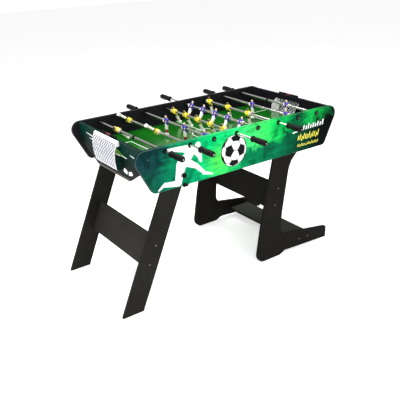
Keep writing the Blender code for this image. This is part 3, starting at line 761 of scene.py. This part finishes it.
def make_grip(rod_name, start, outward):
    """Bulbous collar, narrow neck, fluted barrel and rounded end with a screw, round a bore."""
    outline = mm(
        (0, 12.2), (0.6, 13.3), (1.8, 14.4), (3.6, 15), (6.5, 15.2), (9.5, 15), (11.3, 14.2),
        (12.6, 12.8), (14.2, 11.5), (16, 10.8), (18.5, 10.7), (21, 11.1), (24, 11.9), (27, 12.6),
    )
    for i in range(56):
        along = BARREL_START + 0.001 * i
        share = min(1.0, (along - BARREL_START) / 0.066)
        outline.append((along, 0.0129 + 0.0014 * math.sin(math.pi * share)))
    outline += mm(
        (87, 13.6), (90, 12.7), (92.5, 11.4), (94.3, 9.6), (95.4, 7.4), (95.9, 5), (96, 3.6),
        (95.3, 3.3), (95.3, 0),
    )
    profile = [(GRIP_DEPTH, 0.0), (GRIP_DEPTH, GRIP_BORE), (0.0, GRIP_BORE)] + outline
    shape = Shape().lathe(start, outward, profile, 72, 0,
                          ripple=lambda a, t: grip_flutes(a, t) if a > 0.026 else 1.0)
    piece(rod_name + "_grip", shape, RUBBER, rod_name, "grip", [rod_name + "_handle"], 40)
    shape = Shape().lathe(start + outward * GRIP_SCREW_PLACE, outward, mm(
        (0, 3.1), (0.6, 3.1), (0.9, 2.7), (0.9, 1.2), (0.5, 1), (0.5, 0),
    ), 24)
    piece(rod_name + "_grip_screw", shape, ZINC, rod_name, "steel")


def make_bumpers(rod_name, x, z, places, side):
    """Rubber rings beside the outer men, and a stop ring on a lone man's rod."""
    first, last = min(places), max(places)
    for end, edge, sign in (("low", first, -1), ("high", last, 1)):
        shape = bumper_ring(Vector((x, edge + sign * MAN_REACH, z)), Y_AXIS * sign)
        piece(f"{rod_name}_bumper_{end}", shape, CREAM_RUBBER, rod_name, "grip")
    if len(places) == 1:
        shape = bumper_ring(Vector((x, first + side * KEEPER_STOP, z)), Y_AXIS * side)
        piece(rod_name + "_stop_ring", shape, NYLON, rod_name, "grip")


def make_bushings(rod_name, x, z, side):
    """A flange on each face of both panels, joined by a sleeve through the hole."""
    for panel, out in (("front", -1), ("back", 1)):
        carries_tube = out == side
        bore = TUBE_HOLE if carries_tube else CORE_HOLE
        inner = MIDDLE_Y + out * PANEL_INNER
        depth = PANEL_OUTER - PANEL_INNER
        shape = Shape().lathe((x, inner, z), Y_AXIS * out, [
            (-0.0009, bore), (-0.0009, 0.0104), (-0.0006, 0.0112), (-0.0002, 0.0116),
            (-0.0002, SLEEVE_RADIUS), (depth + 0.0002, SLEEVE_RADIUS), (depth + 0.0003, 0.0122),
            (depth + 0.0018, 0.0124), (depth + 0.0034, 0.0114), (depth + 0.0040, 0.0098),
            (depth + 0.0036, 0.0078), (depth + 0.0036, bore if carries_tube else 0.0068),
            (depth + 0.0010, bore if carries_tube else 0.0068), (depth + 0.0010, bore),
        ], 40, 0, loop=True)
        piece(f"{rod_name}_bushing_{panel}", shape, NYLON, "cabinet", "grip")


def make_end_cap(rod_name, x, z, side):
    """Nylon cap over the inner shaft's end, away from the handle."""
    cap_start = Vector((x, MIDDLE_Y - side * (PANEL_OUTER + 0.0012), z))
    shape = Shape().lathe(cap_start, Y_AXIS * -side, [
        (0.0, CORE_RADIUS + 0.0001), (0.0, 0.0062), (0.0016, 0.0064), (0.0032, 0.0058),
        (0.0042, 0.0040), (0.0045, 0.0016), (0.0045, 0.0), (0.0014, 0.0),
        (0.0010, CORE_RADIUS + 0.0001),
    ], 32)
    piece(rod_name + "_end_cap", shape, GREY_NYLON, rod_name + "_bearing", "grip")


def make_rod(number):
    """One telescopic rod with all that rides on it, and its bushings and end cap."""
    rod_name = f"rod_{number}"
    core_low, core_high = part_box(rod_name + "_core")
    x, z = (core_low.x + core_high.x) / 2, (core_low.z + core_high.z) / 2
    handle_low, handle_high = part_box(rod_name + "_handle")
    side = 1.0 if handle_low.y > MIDDLE_Y else -1.0
    tube_low, tube_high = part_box(rod_name + "_tube")
    outward = Y_AXIS * side

    def inner_end(low, high):
        return Vector((x, low.y if side > 0 else high.y, z))

    make_tube(rod_name, inner_end(tube_low, tube_high), outward, tube_high.y - tube_low.y)
    make_core(rod_name, inner_end(core_low, core_high), outward, core_high.y - core_low.y)
    make_grip(rod_name, inner_end(handle_low, handle_high), outward)
    men = sorted(name for name in NODES if name.startswith(rod_name + "_man_"))
    places = [sum(c.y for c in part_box(name)) / 2 for name in men]
    make_bumpers(rod_name, x, z, places, side)
    team, slot = (YELLOW_TEAM, "yellow_team") if side < 0 else (BLUE_TEAM, "blue_team")
    turned = Matrix.Rotation(-math.radians(SWINGS[number - 1]), 4, "Y")
    for index, (name, y) in enumerate(zip(men, places)):
        placed = Matrix.Translation((x, y, z)) @ turned
        shape = figure(1 if side < 0 else -1).moved(placed)
        piece(f"{rod_name}_player_{index + 1}", shape, team, rod_name, slot, [name], 40)
    make_bushings(rod_name, x, z, side)
    make_end_cap(rod_name, x, z, side)


for number in range(1, 9):
    make_rod(number)


# ---------------------------------------------------------------- printed marks and lines
def limb(start, start_radius, end, end_radius, steps=10):
    """Outline of a tapering stroke with round ends."""
    heading = math.atan2(end[1] - start[1], end[0] - start[0])
    points = []
    for (a, b), radius, turn in ((start, start_radius, 0.5), (end, end_radius, -0.5)):
        for i in range(steps + 1):
            angle = heading + math.pi * (turn + i / steps)
            points.append((a + radius * math.cos(angle), b + radius * math.sin(angle)))
    return points


def on_front(a, b, out):
    """Point on the printed front panel: cabinet x, height, distance out."""
    return Vector((a + MIDDLE_X, PANEL_LOW.y - out, b))


ROD_BOXES = [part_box(f"rod_{number}_core") for number in range(1, 9)]
ROD_STATIONS = [(low.x + high.x) / 2 - MIDDLE_X for low, high in ROD_BOXES]
ROD_HEIGHT = (ROD_BOXES[0][0].z + ROD_BOXES[0][1].z) / 2
HOLE_MARGIN = 0.0100            # printed films stop here, under the bushings' flanges


def over_hole(a, b, margin=HOLE_MARGIN):
    """Whether a spot on the front panel is within the margin of a rod's hole."""
    return any(math.hypot(a - x, b - ROD_HEIGHT) < margin for x in ROD_STATIONS)


def past_rods(outline):
    """An outline on the front panel with the parts over the rods' holes drawn back inwards."""
    middle_a = sum(a for a, _ in outline) / len(outline)
    middle_b = sum(b for _, b in outline) / len(outline)
    result = []
    for (a, b), (c, d) in zip(outline, outline[1:] + outline[:1]):
        steps = 6 if over_hole(a, b, 0.03) or over_hole(c, d, 0.03) else 1
        for j in range(steps):
            p, q = a + (c - a) * j / steps, b + (d - b) * j / steps
            for _ in range(60):
                if not over_hole(p, q):
                    break
                p, q = p + (middle_a - p) * 0.03, q + (middle_b - q) * 0.03
            result.append((p, q))
    return result


def on_field(a, b, out):
    """Point on the pitch: cabinet x and y, distance up."""
    return at(a, b, FIELD_TOP + out)


END_LEAN = math.atan2(0.018, 0.185)
END_FOOT = (0.560, 0.601)


def on_end(direction, out, y, rise):
    """Point by an end panel: distance out of its outer face, cabinet y, distance up the panel."""
    x = direction * (END_FOOT[0] + out * math.cos(END_LEAN) + rise * math.sin(END_LEAN))
    return at(x, y, END_FOOT[1] - out * math.sin(END_LEAN) + rise * math.cos(END_LEAN))


def layers(shape, outlines, place):
    """Stacks closed outlines as films of ink, each a hair above the one before."""
    for index, outline in enumerate(outlines):
        base = LIFT + PROUD * 0.25 * index
        outline = outline if isinstance(outline[0], list) else [outline]
        outline = [past_rods(loop) for loop in outline] if place is on_front else outline
        shape.slab(outline, place, LIFT, base + PROUD)
    return shape


def print_runner():
    """Generic stick-and-stroke player kicking a ball, drawn with round-ended strokes."""
    limbs = [
        ((-0.324, 0.744), 0.0225, (-0.370, 0.694), 0.0255),
        ((-0.338, 0.752), 0.0185, (-0.398, 0.762), 0.0120),
        ((-0.398, 0.762), 0.0120, (-0.456, 0.771), 0.0050),
        ((-0.306, 0.740), 0.0180, (-0.284, 0.710), 0.0130),
        ((-0.284, 0.710), 0.0125, (-0.277, 0.682), 0.0072),
        ((-0.352, 0.690), 0.0190, (-0.304, 0.664), 0.0125),
        ((-0.304, 0.664), 0.0120, (-0.262, 0.624), 0.0080),
        ((-0.262, 0.620), 0.0090, (-0.213, 0.604), 0.0042),
        ((-0.384, 0.688), 0.0270, (-0.402, 0.612), 0.0185),
        ((-0.400, 0.603), 0.0145, (-0.470, 0.612), 0.0105),
        ((-0.474, 0.616), 0.0085, (-0.508, 0.595), 0.0036),
    ]
    outlines = [limb(*part) for part in limbs] + [circle(-0.291, 0.7585, 0.0155, 36)]
    shape = layers(Shape(), outlines, on_front)
    piece("runner_print", shape, WHITE_FILM, "cabinet", "printed_board")


def football_faces(tilt, turn):
    """Twelve pentagons and thirty seams of a football, turned, as points on a unit sphere."""
    golden = (1 + math.sqrt(5)) / 2
    corners = []
    for one in (-1, 1):
        for other in (-golden, golden):
            corners += [Vector((0, one, other)), Vector((one, other, 0)), Vector((other, 0, one))]
    pose = (Matrix.Rotation(tilt, 3, "Z") @ Matrix.Rotation(turn, 3, "Y")
            @ Matrix.Rotation(math.pi / 2, 3, "Z"))
    corners = [pose @ corner for corner in corners]
    pentagons, seams = [], []
    for i, corner in enumerate(corners):
        near = [other for other in corners if 1.9 < (other - corner).length < 2.1]
        first, second = perpendicular(corner)
        near.sort(key=lambda p: math.atan2((p - corner).dot(second), (p - corner).dot(first)))
        pentagons.append([corner.lerp(other, 0.40) for other in near])
        seams += [(corner.lerp(other, 1 / 3), corner.lerp(other, 2 / 3)) for other in near
                  if corners.index(other) > i]
    return pentagons, seams


BALL_MIDDLE, BALL_RADIUS, BALL_RIM = (-0.083, 0.6862), 0.0782, 0.0030
BALL_TILT, BALL_TURN = math.radians(-6), math.radians(8.5)


def print_ball():
    """Football seen as a flat disc: dark rim, white ball, grey seams, black patches."""
    inner = BALL_RADIUS - BALL_RIM

    def flat(point):
        point = point.normalized()
        reach = math.hypot(point.x, point.y)
        scale = inner * (1.0 if point.z > 0 else 1 / max(reach, 1e-6))
        return BALL_MIDDLE[0] + point.x * scale, BALL_MIDDLE[1] + point.y * scale

    shape = Shape()
    for paint, radius, proud in ((0, BALL_RADIUS, 1.0), (1, inner, 1.4)):
        disc = past_rods(circle(*BALL_MIDDLE, radius, 96))
        shape.slab([disc], on_front, LIFT, LIFT + PROUD * proud, paint)
    pentagons, seams = football_faces(BALL_TILT, BALL_TURN)
    for start, end in seams:
        if min(start.z, end.z) < 0.12:
            continue
        (a, b), (c, d) = flat(start), flat(end)
        seam = limb((a, b), 0.0015, (c, d), 0.0015, 4)
        shape.slab([seam], on_front, LIFT, LIFT + PROUD * 1.8, 2)
    for pentagon in pentagons:
        if sum(p.z for p in pentagon) / 5 < -0.35:
            continue
        outline = []
        for i, corner in enumerate(pentagon):
            after = pentagon[(i + 1) % 5]
            outline += [flat(corner.lerp(after, j / 6)) for j in range(6)]
        spots = {(round(a, 5), round(b, 5)) for a, b in outline}
        if len(spots) < 6 or max(p.z for p in pentagon) < 0.02:
            continue
        shape.slab([past_rods(outline)], on_front, LIFT, LIFT + PROUD * 2.2, 0)
    piece("football_print", shape, [BLACK_FILM, WHITE_FILM, GREY_FILM], "cabinet", "printed_board")


def print_front_marks():
    """Plain speed bars and brushed dashes that fill the decorated corner of the front panel."""
    white, yellow, small = Shape(), Shape(), Shape()
    # speed bars: (x, height)
    bars = mm(
        (376, 26), (394, 20), (410, 28), (427, 18), (444, 24), (461, 18), (478, 26), (496, 20),
        (514, 30),
    )
    for a, tall in bars:
        foot = 0.697 + 0.02 * (a - 0.44)
        slant = [(a - 0.0045, foot), (a + 0.0045, foot), (a + 0.0095, foot + tall),
                 (a + 0.0005, foot + tall)]
        layers(white, [rounded([(p, q, 0.0016) for p, q in slant])], on_front)
    layers(white, [limb((0.304, 0.694), 0.0038, (0.334, 0.6955), 0.0024)], on_front)
    # leaning dashes of uneven length: (first x, count, foot, mean height, stroke radius, shape)
    for start, count, foot, tall, stroke, shape in (
            (0.340, 12, 0.650, 0.024, 0.0034, yellow), (0.338, 17, 0.614, 0.011, 0.0022, small)):
        pitch = 0.155 / count
        for i in range(count):
            a = start + pitch * i
            sway = math.sin(2.4 * i) * 0.3
            low, high = foot - tall * max(-sway, 0), foot + tall * (0.85 + sway)
            lean = (high - low) * 0.30
            layers(shape, [limb((a, low), stroke, (a + lean, high), stroke * 0.8, 6)], on_front)
    piece("front_bars_print", white, WHITE_FILM, "cabinet", "printed_board")
    piece("front_dashes_print", yellow, YELLOW_FILM, "cabinet", "printed_board")
    piece("front_small_dashes_print", small, YELLOW_FILM, "cabinet", "printed_board")


def print_end_marks(direction, name):
    """Grass wedge, short white strokes, leaf shapes and bottom band on an end panel."""
    def place(a, b, out):
        return on_end(direction, out, a * direction, (b - END_FOOT[1]) / math.cos(END_LEAN))

    def beside(a, b, out):
        return on_end(direction, a, direction * (hood_half(b) + 0.0010 + out), b)

    wedge = Shape()
    layers(wedge, [mm((98, 736.8), (98, 720.5), (146, 721.2))], place)
    layers(wedge, [mm((0.6, 138.5), (0.6, 120), (25, 139.5), (26.2, 144), (18, 160))], beside)
    piece(f"end_wedge_print_{name}", wedge, OLIVE_FILM, "cabinet", "printed_board")
    white = layers(Shape(), [limb((0.0024, 0.1172), 0.0012, (0.0240, 0.1352), 0.0012)], beside)
    strokes = [
        limb((0.0995, 0.7180), 0.0013, (0.158, 0.7175), 0.0024),
        limb((0.197, 0.743), 0.0012, (0.238, 0.737), 0.0034),
        limb((-0.227, 0.751), 0.0012, (-0.163, 0.745), 0.0036),
        limb((-0.201, 0.729), 0.0012, (-0.150, 0.727), 0.0034),
        # two plain leaf shapes low on the panel
        rounded(mm((108, 640, 4), (140, 634, 4), (150, 652, 8), (122, 664, 6))),
        rounded(mm((155, 632, 3), (196, 644, 5), (186, 660, 6), (158, 652, 4))),
    ]
    layers(white, strokes, place)
    piece(f"end_strokes_print_{name}", white, WHITE_FILM, "cabinet", "printed_board")
    # the grey-brown band along the bottom edge
    strip = mm((-149, 603), (149, 603), (161, 612.5), (-161, 612.5))
    band = layers(Shape(), [strip], place)
    piece(f"end_band_{name}", band, TRIM_BROWN, "cabinet", "printed_board")


LINE_WIDTH, CENTRE_CIRCLE = 0.0045, 0.0822
AREA_REACH, AREA_HALF, SPOT_REACH = 0.378, 0.140, 0.418
# the angle at which each corner's quarter circle starts
CORNERS = {(-1, -1): 0, (-1, 1): 270, (1, -1): 90, (1, 1): 180}


def print_pitch():
    """White lines of the pitch."""
    half_line, half_y = LINE_WIDTH / 2, PANEL_INNER - 0.004
    field_end = FIELD_HALF - 0.001

    def box_outline(a, b, c, d):
        return [(a, b), (c, b), (c, d), (a, d)]

    def arc(centre, radius, start, end, steps):
        inside, outside = [], []
        for i in range(steps + 1):
            angle = math.radians(start + (end - start) * i / steps)
            for ring, reach in ((inside, radius - half_line), (outside, radius + half_line)):
                ring.append((centre[0] + reach * math.cos(angle),
                             centre[1] + reach * math.sin(angle)))
        return inside + outside[::-1]

    outlines = [
        box_outline(-half_line, -half_y, half_line, half_y),
        [circle(0, 0, CENTRE_CIRCLE, 72), circle(0, 0, CENTRE_CIRCLE - LINE_WIDTH, 72)],
        circle(0, 0, 0.006, 24),
    ]
    for end in (-1, 1):
        front = end * AREA_REACH
        low, high = sorted((front, end * field_end))
        outlines.append(box_outline(front - half_line, -AREA_HALF, front + half_line, AREA_HALF))
        for side in (-AREA_HALF, AREA_HALF):
            outlines.append(box_outline(low, side - half_line, high, side + half_line))
        outlines.append(circle(end * SPOT_REACH, 0, 0.005, 20))
        for side in (-1, 1):
            start = CORNERS[end, side]
            centre = (end * field_end, side * (half_y + 0.001))
            outlines.append(arc(centre, 0.022, start, start + 90, 10))
    shape = Shape()
    for outline in outlines:
        group = outline if isinstance(outline[0], list) else [outline]
        shape.slab(group, on_field, LIFT, LIFT + PROUD)
    piece("pitch_lines", shape, PITCH_WHITE, "cabinet", "pitch")


print_runner()
print_ball()
print_front_marks()
print_pitch()


# ---------------------------------------------------------------- goals
HOOD_LOW, HOOD_HIGH = 0.048, 0.187
# outlines of the hood's sheet: (distance out of the end panel, height up it, corner radius)
HOOD_OUTER = mm(
    (0.3, 48, 0), (24, 48, 3), (30, 56, 10), (33.5, 100, 60), (29, 145, 50), (13, 178, 12),
    (8.5, 187, 3), (0.3, 187, 0),
)
HOOD_INNER = mm(
    (0.3, 163, 0), (16.5, 163, 4), (26.5, 144, 50), (31, 100, 60), (27.5, 56.8, 10),
    (23, 50.5, 3), (0.3, 50.5, 0),
)


NET_LOW, NET_HIGH, INNER_NET_HIGH = 0.056, 0.1835, 0.160
CHEEK_WHITE, CHEEK_BLACK = (0.0925, 0.0936), (0.09365, 0.0947)


def hood_half(rise):
    """Half the hood's width at a height; it widens upwards."""
    return 0.098 + (rise - HOOD_LOW) / (HOOD_HIGH - HOOD_LOW) * 0.014


def hood_path(outline, low, high):
    """The bent sheet between two heights, as points evenly spaced along its surface."""
    points = [Vector(p) for p in rounded(outline) if p[0] > 0.0088 and low <= p[1] <= high]
    points.sort(key=lambda p: p.y)
    lengths = [0.0]
    for before, after in zip(points, points[1:]):
        lengths.append(lengths[-1] + (after - before).length)

    def along(distance):
        distance = min(max(distance, 0.0), lengths[-1])
        index = max(i for i in range(len(lengths) - 1) if lengths[i] <= distance + 1e-9)
        span = max(lengths[index + 1] - lengths[index], 1e-9)
        return points[index].lerp(points[index + 1], (distance - lengths[index]) / span)

    return along, lengths[-1]


def hood_spot(direction, along, face):
    """Finds points by a bent sheet; face is +1 for its outer side and -1 for its inner side."""
    def spot(distance, share, out):
        """Distance along the sheet, share of its half width, distance out of it."""
        tangent = (along(distance + 0.002) - along(distance - 0.002)).normalized()
        point = along(distance) + Vector((tangent.y, -tangent.x)) * out * face
        return on_end(direction, point.x, share * hood_half(point.y), point.y)

    return spot


NET_HALF_WIDTH = 0.095


def net_ribs(spot, length, reach, width, tall, pitch):
    """Crossing diagonal strands that follow the bent sheet."""
    shape = Shape()
    run = length / NET_HALF_WIDTH
    count = int((2 + run) * NET_HALF_WIDTH / pitch)
    for lean in (-1, 1):
        for i in range(count + 1):
            start = -1 - run + (2 + run) * (i + 0.5) / (count + 1)
            low = max(0.0, (-1 - start) * NET_HALF_WIDTH)
            high = min(length, (1 - start) * NET_HALF_WIDTH)
            if high - low < 0.004:
                continue
            steps = max(2, int((high - low) / 0.003))
            rings = []
            for j in range(steps + 1):
                distance = low + (high - low) * j / steps
                v = lean * (start + distance / NET_HALF_WIDTH)
                here = spot(distance, v * reach, 0.0003)
                beyond = (v + lean * 0.001 / NET_HALF_WIDTH) * reach
                heading = (spot(distance + 0.001, beyond, 0.0003) - here).normalized()
                lifted = spot(distance, v * reach, 0.0003 + tall)
                normal = (lifted - here).normalized()
                across = heading.cross(normal).normalized() * width / 2
                rings.append([here + across, here - across, lifted - across * 0.7,
                              lifted + across * 0.7])
            shape.loft(rings)
    return shape


def sheet(shape, spot, length, low, high, steps=70):
    """Strip along the bent sheet; low and high are its (distance out, share) at both edges."""
    (near, left), (far, right) = low, high
    corners = ((near, left), (near, right), (far, right), (far, left))
    return shape.loft([[spot(length * i / steps, share, out) for out, share in corners]
                       for i in range(steps + 1)])


SIDES = ((-1, "front"), (1, "back"))
BORDER_LOW, BORDER_HIGH = 0.0001, 0.0012


def make_goal(direction, name):
    """Goal hood with its nets, borders, sheets of painted shade under the nets, side plates, and
    the cheeks inside.
    """
    def fit(part, shape, material, slot="net_plastic", stands_for=()):
        piece(f"goal_{part}", shape, material, "cabinet", slot, stands_for)

    hood = Shape().slab(
        [rounded(HOOD_OUTER) + rounded(HOOD_INNER)],
        lambda a, b, h: on_end(direction, a, h * hood_half(b), b), -1, 1,
    )
    fit(f"hood_shell_{name}", hood, GOAL_WHITE, stands_for=[f"goal_hood_{name}"])
    along, length = hood_path(HOOD_OUTER, NET_LOW, NET_HIGH)
    spot = hood_spot(direction, along, 1)
    # dark sheet under the net: painted shade of the hood's inside, seen through the net's holes
    shade_under_net = sheet(Shape(), spot, length, (0.0001, -0.955), (0.0004, 0.955))
    fit(f"net_backing_{name}", shade_under_net, NET_HOLE_SHADE)
    fit(f"net_{name}", net_ribs(spot, length, 0.955, 0.0050, 0.0009, 0.0190), GOAL_WHITE)
    # raised border round the net
    border = Shape()
    for low, high in ((0.0, 0.0035), (length - 0.0035, length)):
        corners = ((low, BORDER_LOW), (high, BORDER_LOW), (high, BORDER_HIGH), (low, BORDER_HIGH))
        border.loft([[spot(distance, share * 0.975, out) for distance, out in corners]
                     for share in (-1.0, -0.5, 0.0, 0.5, 1.0)])
    for side in (-1, 1):
        sheet(border, spot, length, (BORDER_LOW, side * 0.955), (BORDER_HIGH, side * 0.985), 22)
    fit(f"border_{name}", border, GOAL_WHITE)
    # what the player sees through the goal: white strands over a dark sheet of painted shade for
    # the hood's inside
    along, length = hood_path(HOOD_INNER, NET_LOW, INNER_NET_HIGH)
    spot = hood_spot(direction, along, -1)
    inside_shade = sheet(Shape(), spot, length, (0.0001, -0.97), (0.0004, 0.97))
    fit(f"lining_{name}", inside_shade, GOAL_INSIDE_SHADE)
    fit(f"inner_net_{name}", net_ribs(spot, length, 0.96, 0.0044, 0.0008, 0.0210), GOAL_WHITE)
    # plates that close the hood's two sides, printed like the end panel
    outline = rounded(HOOD_INNER[:4] + mm((27.5, 54.5, 10), (23, 47.6, 3), (0.3, 47.6, 0)))
    for side, label in SIDES:
        plate = Shape().slab([outline], lambda a, b, h: on_end(
            direction, a, side * (hood_half(b) + h), b), 0.0002, 0.0010)
        fit(f"side_{name}_{label}", plate, END_LEFT_ART if direction < 0 else END_RIGHT_ART,
            "printed_board")
    # cheeks either side of the goal: white towards the goal, black behind
    cheek = rounded(mm(
        (529, 683.6, 0), (529, 722, 12), (545, 742, 20), (566, 760, 6), (596, 745, 10),
        (590, 683.6, 4),
    ))
    for side, label in SIDES:
        fin = Shape()
        for paint, skin in enumerate((CHEEK_WHITE, CHEEK_BLACK)):
            fin.slab([cheek], lambda a, b, h: at(direction * a, side * h, b), *skin, paint)
        fit(f"cheek_{name}_{label}", fin, [CHEEK_CREAM, NYLON])


BEADS, BEAD_PITCH, BEAD_HEIGHT = 11, 0.0119, 0.7928


def make_scorer(direction, name):
    """Row of beads on a wire between two posts on top of the end panel."""
    top_x = direction * 0.5700
    posts = Shape()
    outline = rounded(mm(
        (-4.5, 786.2, 0.4), (4.5, 786.2, 0.4), (3.8, 798.5, 2.8), (-3.8, 798.5, 2.8),
    ))
    for side in (-1, 1):
        posts.slab([outline], lambda a, b, h: at(top_x + a, side * h, b), 0.0690, 0.0730)
    posts.lathe(at(top_x, -0.0690, BEAD_HEIGHT), Y_AXIS, [(0.0, 0.0013), (0.1380, 0.0013)], 16)
    piece(f"scorer_posts_{name}", posts, NYLON, "cabinet", "grip")
    for index in range(BEADS):
        place = index - (BEADS - 1) / 2
        start = at(top_x, place * BEAD_PITCH - 0.0054, BEAD_HEIGHT)
        bead = Shape().lathe(start, Y_AXIS, mm(
            (0, 1.6), (0, 3.6), (0.8, 4.8), (2.4, 5.5), (5.4, 5.7), (8.4, 5.5), (10, 4.8),
            (10.8, 3.6), (10.8, 1.6),
        ), 28, 0, loop=True)
        paint = RED_BEAD if abs(place) < 1.5 else NYLON
        piece(f"scorer_bead_{name}_{index + 1}", bead, paint, "cabinet", "grip")


for direction, name in ((-1, "left"), (1, "right")):
    make_goal(direction, name)
    make_scorer(direction, name)
    print_end_marks(direction, name)


# ---------------------------------------------------------------- screws, knobs and spacers
def screw(name, place, outward, body, radius):
    """Countersunk cross-head screw: domed rim and a pressed cross."""
    shape = Shape().lathe(place, outward, [
        (0.00005, 0.0), (0.00005, radius), (0.0004, radius), (0.0007, radius * 0.86),
        (0.0008, radius * 0.45), (0.0004, radius * 0.30), (0.0004, 0.0),
    ], 28)
    first, second = perpendicular(outward)
    for arm in (first, second):
        other = outward.cross(arm)
        bar = [arm * radius * a + other * radius * b for a, b in (
            (-0.45, -0.10), (0.45, -0.10), (0.45, 0.10), (-0.45, 0.10))]
        shape.loft([[place + outward * lift + corner for corner in bar]
                    for lift in (0.0004, 0.0009)])
    piece(name, shape, DULL_ZINC, body, "steel")


for index, (x, z) in enumerate(mm((-553, 749), (315, 590))):
    screw(f"front_panel_screw_{index + 1}", on_front(x, z, 0), -Y_AXIS, "cabinet", 0.0028)

LEG_FACE, STAND_FACE = 0.288, 0.292     # from the middle to the frames' outer faces
# screws in the folding frames: body, name, outer face, (x, height) of each
FRAME_SCREWS = (
    ("left_legs", "leg_screw", LEG_FACE, mm((-524, 319), (-564, 231))),
    ("stand", "stand_screw", STAND_FACE, mm((232, 403), (214, 313), (404, 52), (470, 50))),
)
for side, label in SIDES:
    for body, name, face, places in FRAME_SCREWS:
        for index, (x, z) in enumerate(places):
            place = at(x, side * face, z)
            screw(f"{name}_{label}_{index + 1}", place, Y_AXIS * side, body, 0.0036)


def knob_lobes(along, angle):
    """Eight finger lobes on the locking knob's rim."""
    return 1.0 - 0.07 * (0.5 + 0.5 * math.cos(8 * angle)) if 0.004 < along < 0.0149 else 1.0


def make_spacer(name, label, x, z, side, outer):
    """Nylon spacer between a frame's outer face and the side panel."""
    gap = PANEL_INNER - outer
    washer = Shape().lathe(at(x, side * (outer + 0.0001), z), Y_AXIS * side, [
        (0.0, 0.0045), (0.0, 0.0128), (0.0005, 0.0135), (gap - 0.0007, 0.0135),
        (gap - 0.0002, 0.0128), (gap - 0.0002, 0.0045),
    ], 36, 0, loop=True)
    piece(f"pivot_spacer_{name}_{label}", washer, NYLON, "cabinet", "grip")


def make_nut(name, label, x, z, side, outer, body):
    """Washer, nut and bolt's end on the inner face of a frame."""
    inner = outer - 0.015
    nut = Shape().lathe(at(x, side * (inner - 0.0001), z), -Y_AXIS * side, mm(
        (0, 0), (0, 9.8), (0.4, 10.2), (1.4, 10.2), (1.6, 9.8), (1.6, 0),
    ), 32)
    nut.lathe(at(x, side * (inner - 0.0018), z), -Y_AXIS * side, mm(
        (0, 0), (0, 6), (0.6, 6.6), (4.4, 6.6), (5, 6), (5.2, 3.6), (7.5, 3.4), (8, 2.8),
        (8, 0),
    ), 6)
    piece(f"pivot_nut_{name}_{label}", nut, ZINC, body, "steel")


def make_lock(label, x, z, side):
    """Knob on the side panel that locks the legs, and the latch below it."""
    knob = Shape().lathe(at(x, side * (PANEL_OUTER + 0.0002), z), Y_AXIS * side, mm(
        (0, 0), (0, 9), (1.6, 9.6), (3, 9.2), (4.4, 11.2), (7, 12.2), (11, 12.2),
        (13.8, 10.8), (15, 8), (15.4, 4), (15.4, 0),
    ), 48, 0, ripple=knob_lobes)
    piece(f"leg_lock_knob_{label}", knob, NYLON, "cabinet", "grip")
    low, high = sorted((side * (PANEL_OUTER + 0.0002), side * (PANEL_OUTER + 0.0046)))
    outline = rounded(mm(
        (-380, 579, 2), (-352, 579, 3), (-350, 588, 3), (-372, 598.5, 4), (-381, 596, 3),
    ))
    latch = Shape().slab([outline], lambda a, b, h: at(a, h, b), low, high)
    piece(f"leg_lock_latch_{label}", latch, NYLON, "cabinet", "grip")


def make_bolt_head(label, x, z, side):
    """Domed bolt head on the side panel."""
    bolt = Shape().lathe(at(x, side * (PANEL_OUTER + 0.0001), z), Y_AXIS * side, mm(
        (0, 0), (0, 6.2), (0.8, 6.8), (1.8, 6), (2.6, 4), (2, 2.6), (2, 0),
    ), 32)
    piece(f"pivot_bolt_head_{label}", bolt, DULL_ZINC if side > 0 else BOLT_CAP,
          "cabinet", "steel")


PIVOTS = (
    ("left", -0.376, 0.636, LEG_FACE, "left_legs"),
    ("right", 0.400, 0.625, STAND_FACE, "stand"),
)
for name, x, z, outer, body in PIVOTS:
    for side, label in SIDES:
        make_spacer(name, label, x, z, side, outer)
        make_nut(name, label, x, z, side, outer, body)
        if name == "left":
            make_lock(label, x, z, side)
        else:
            make_bolt_head(label, x, z, side)
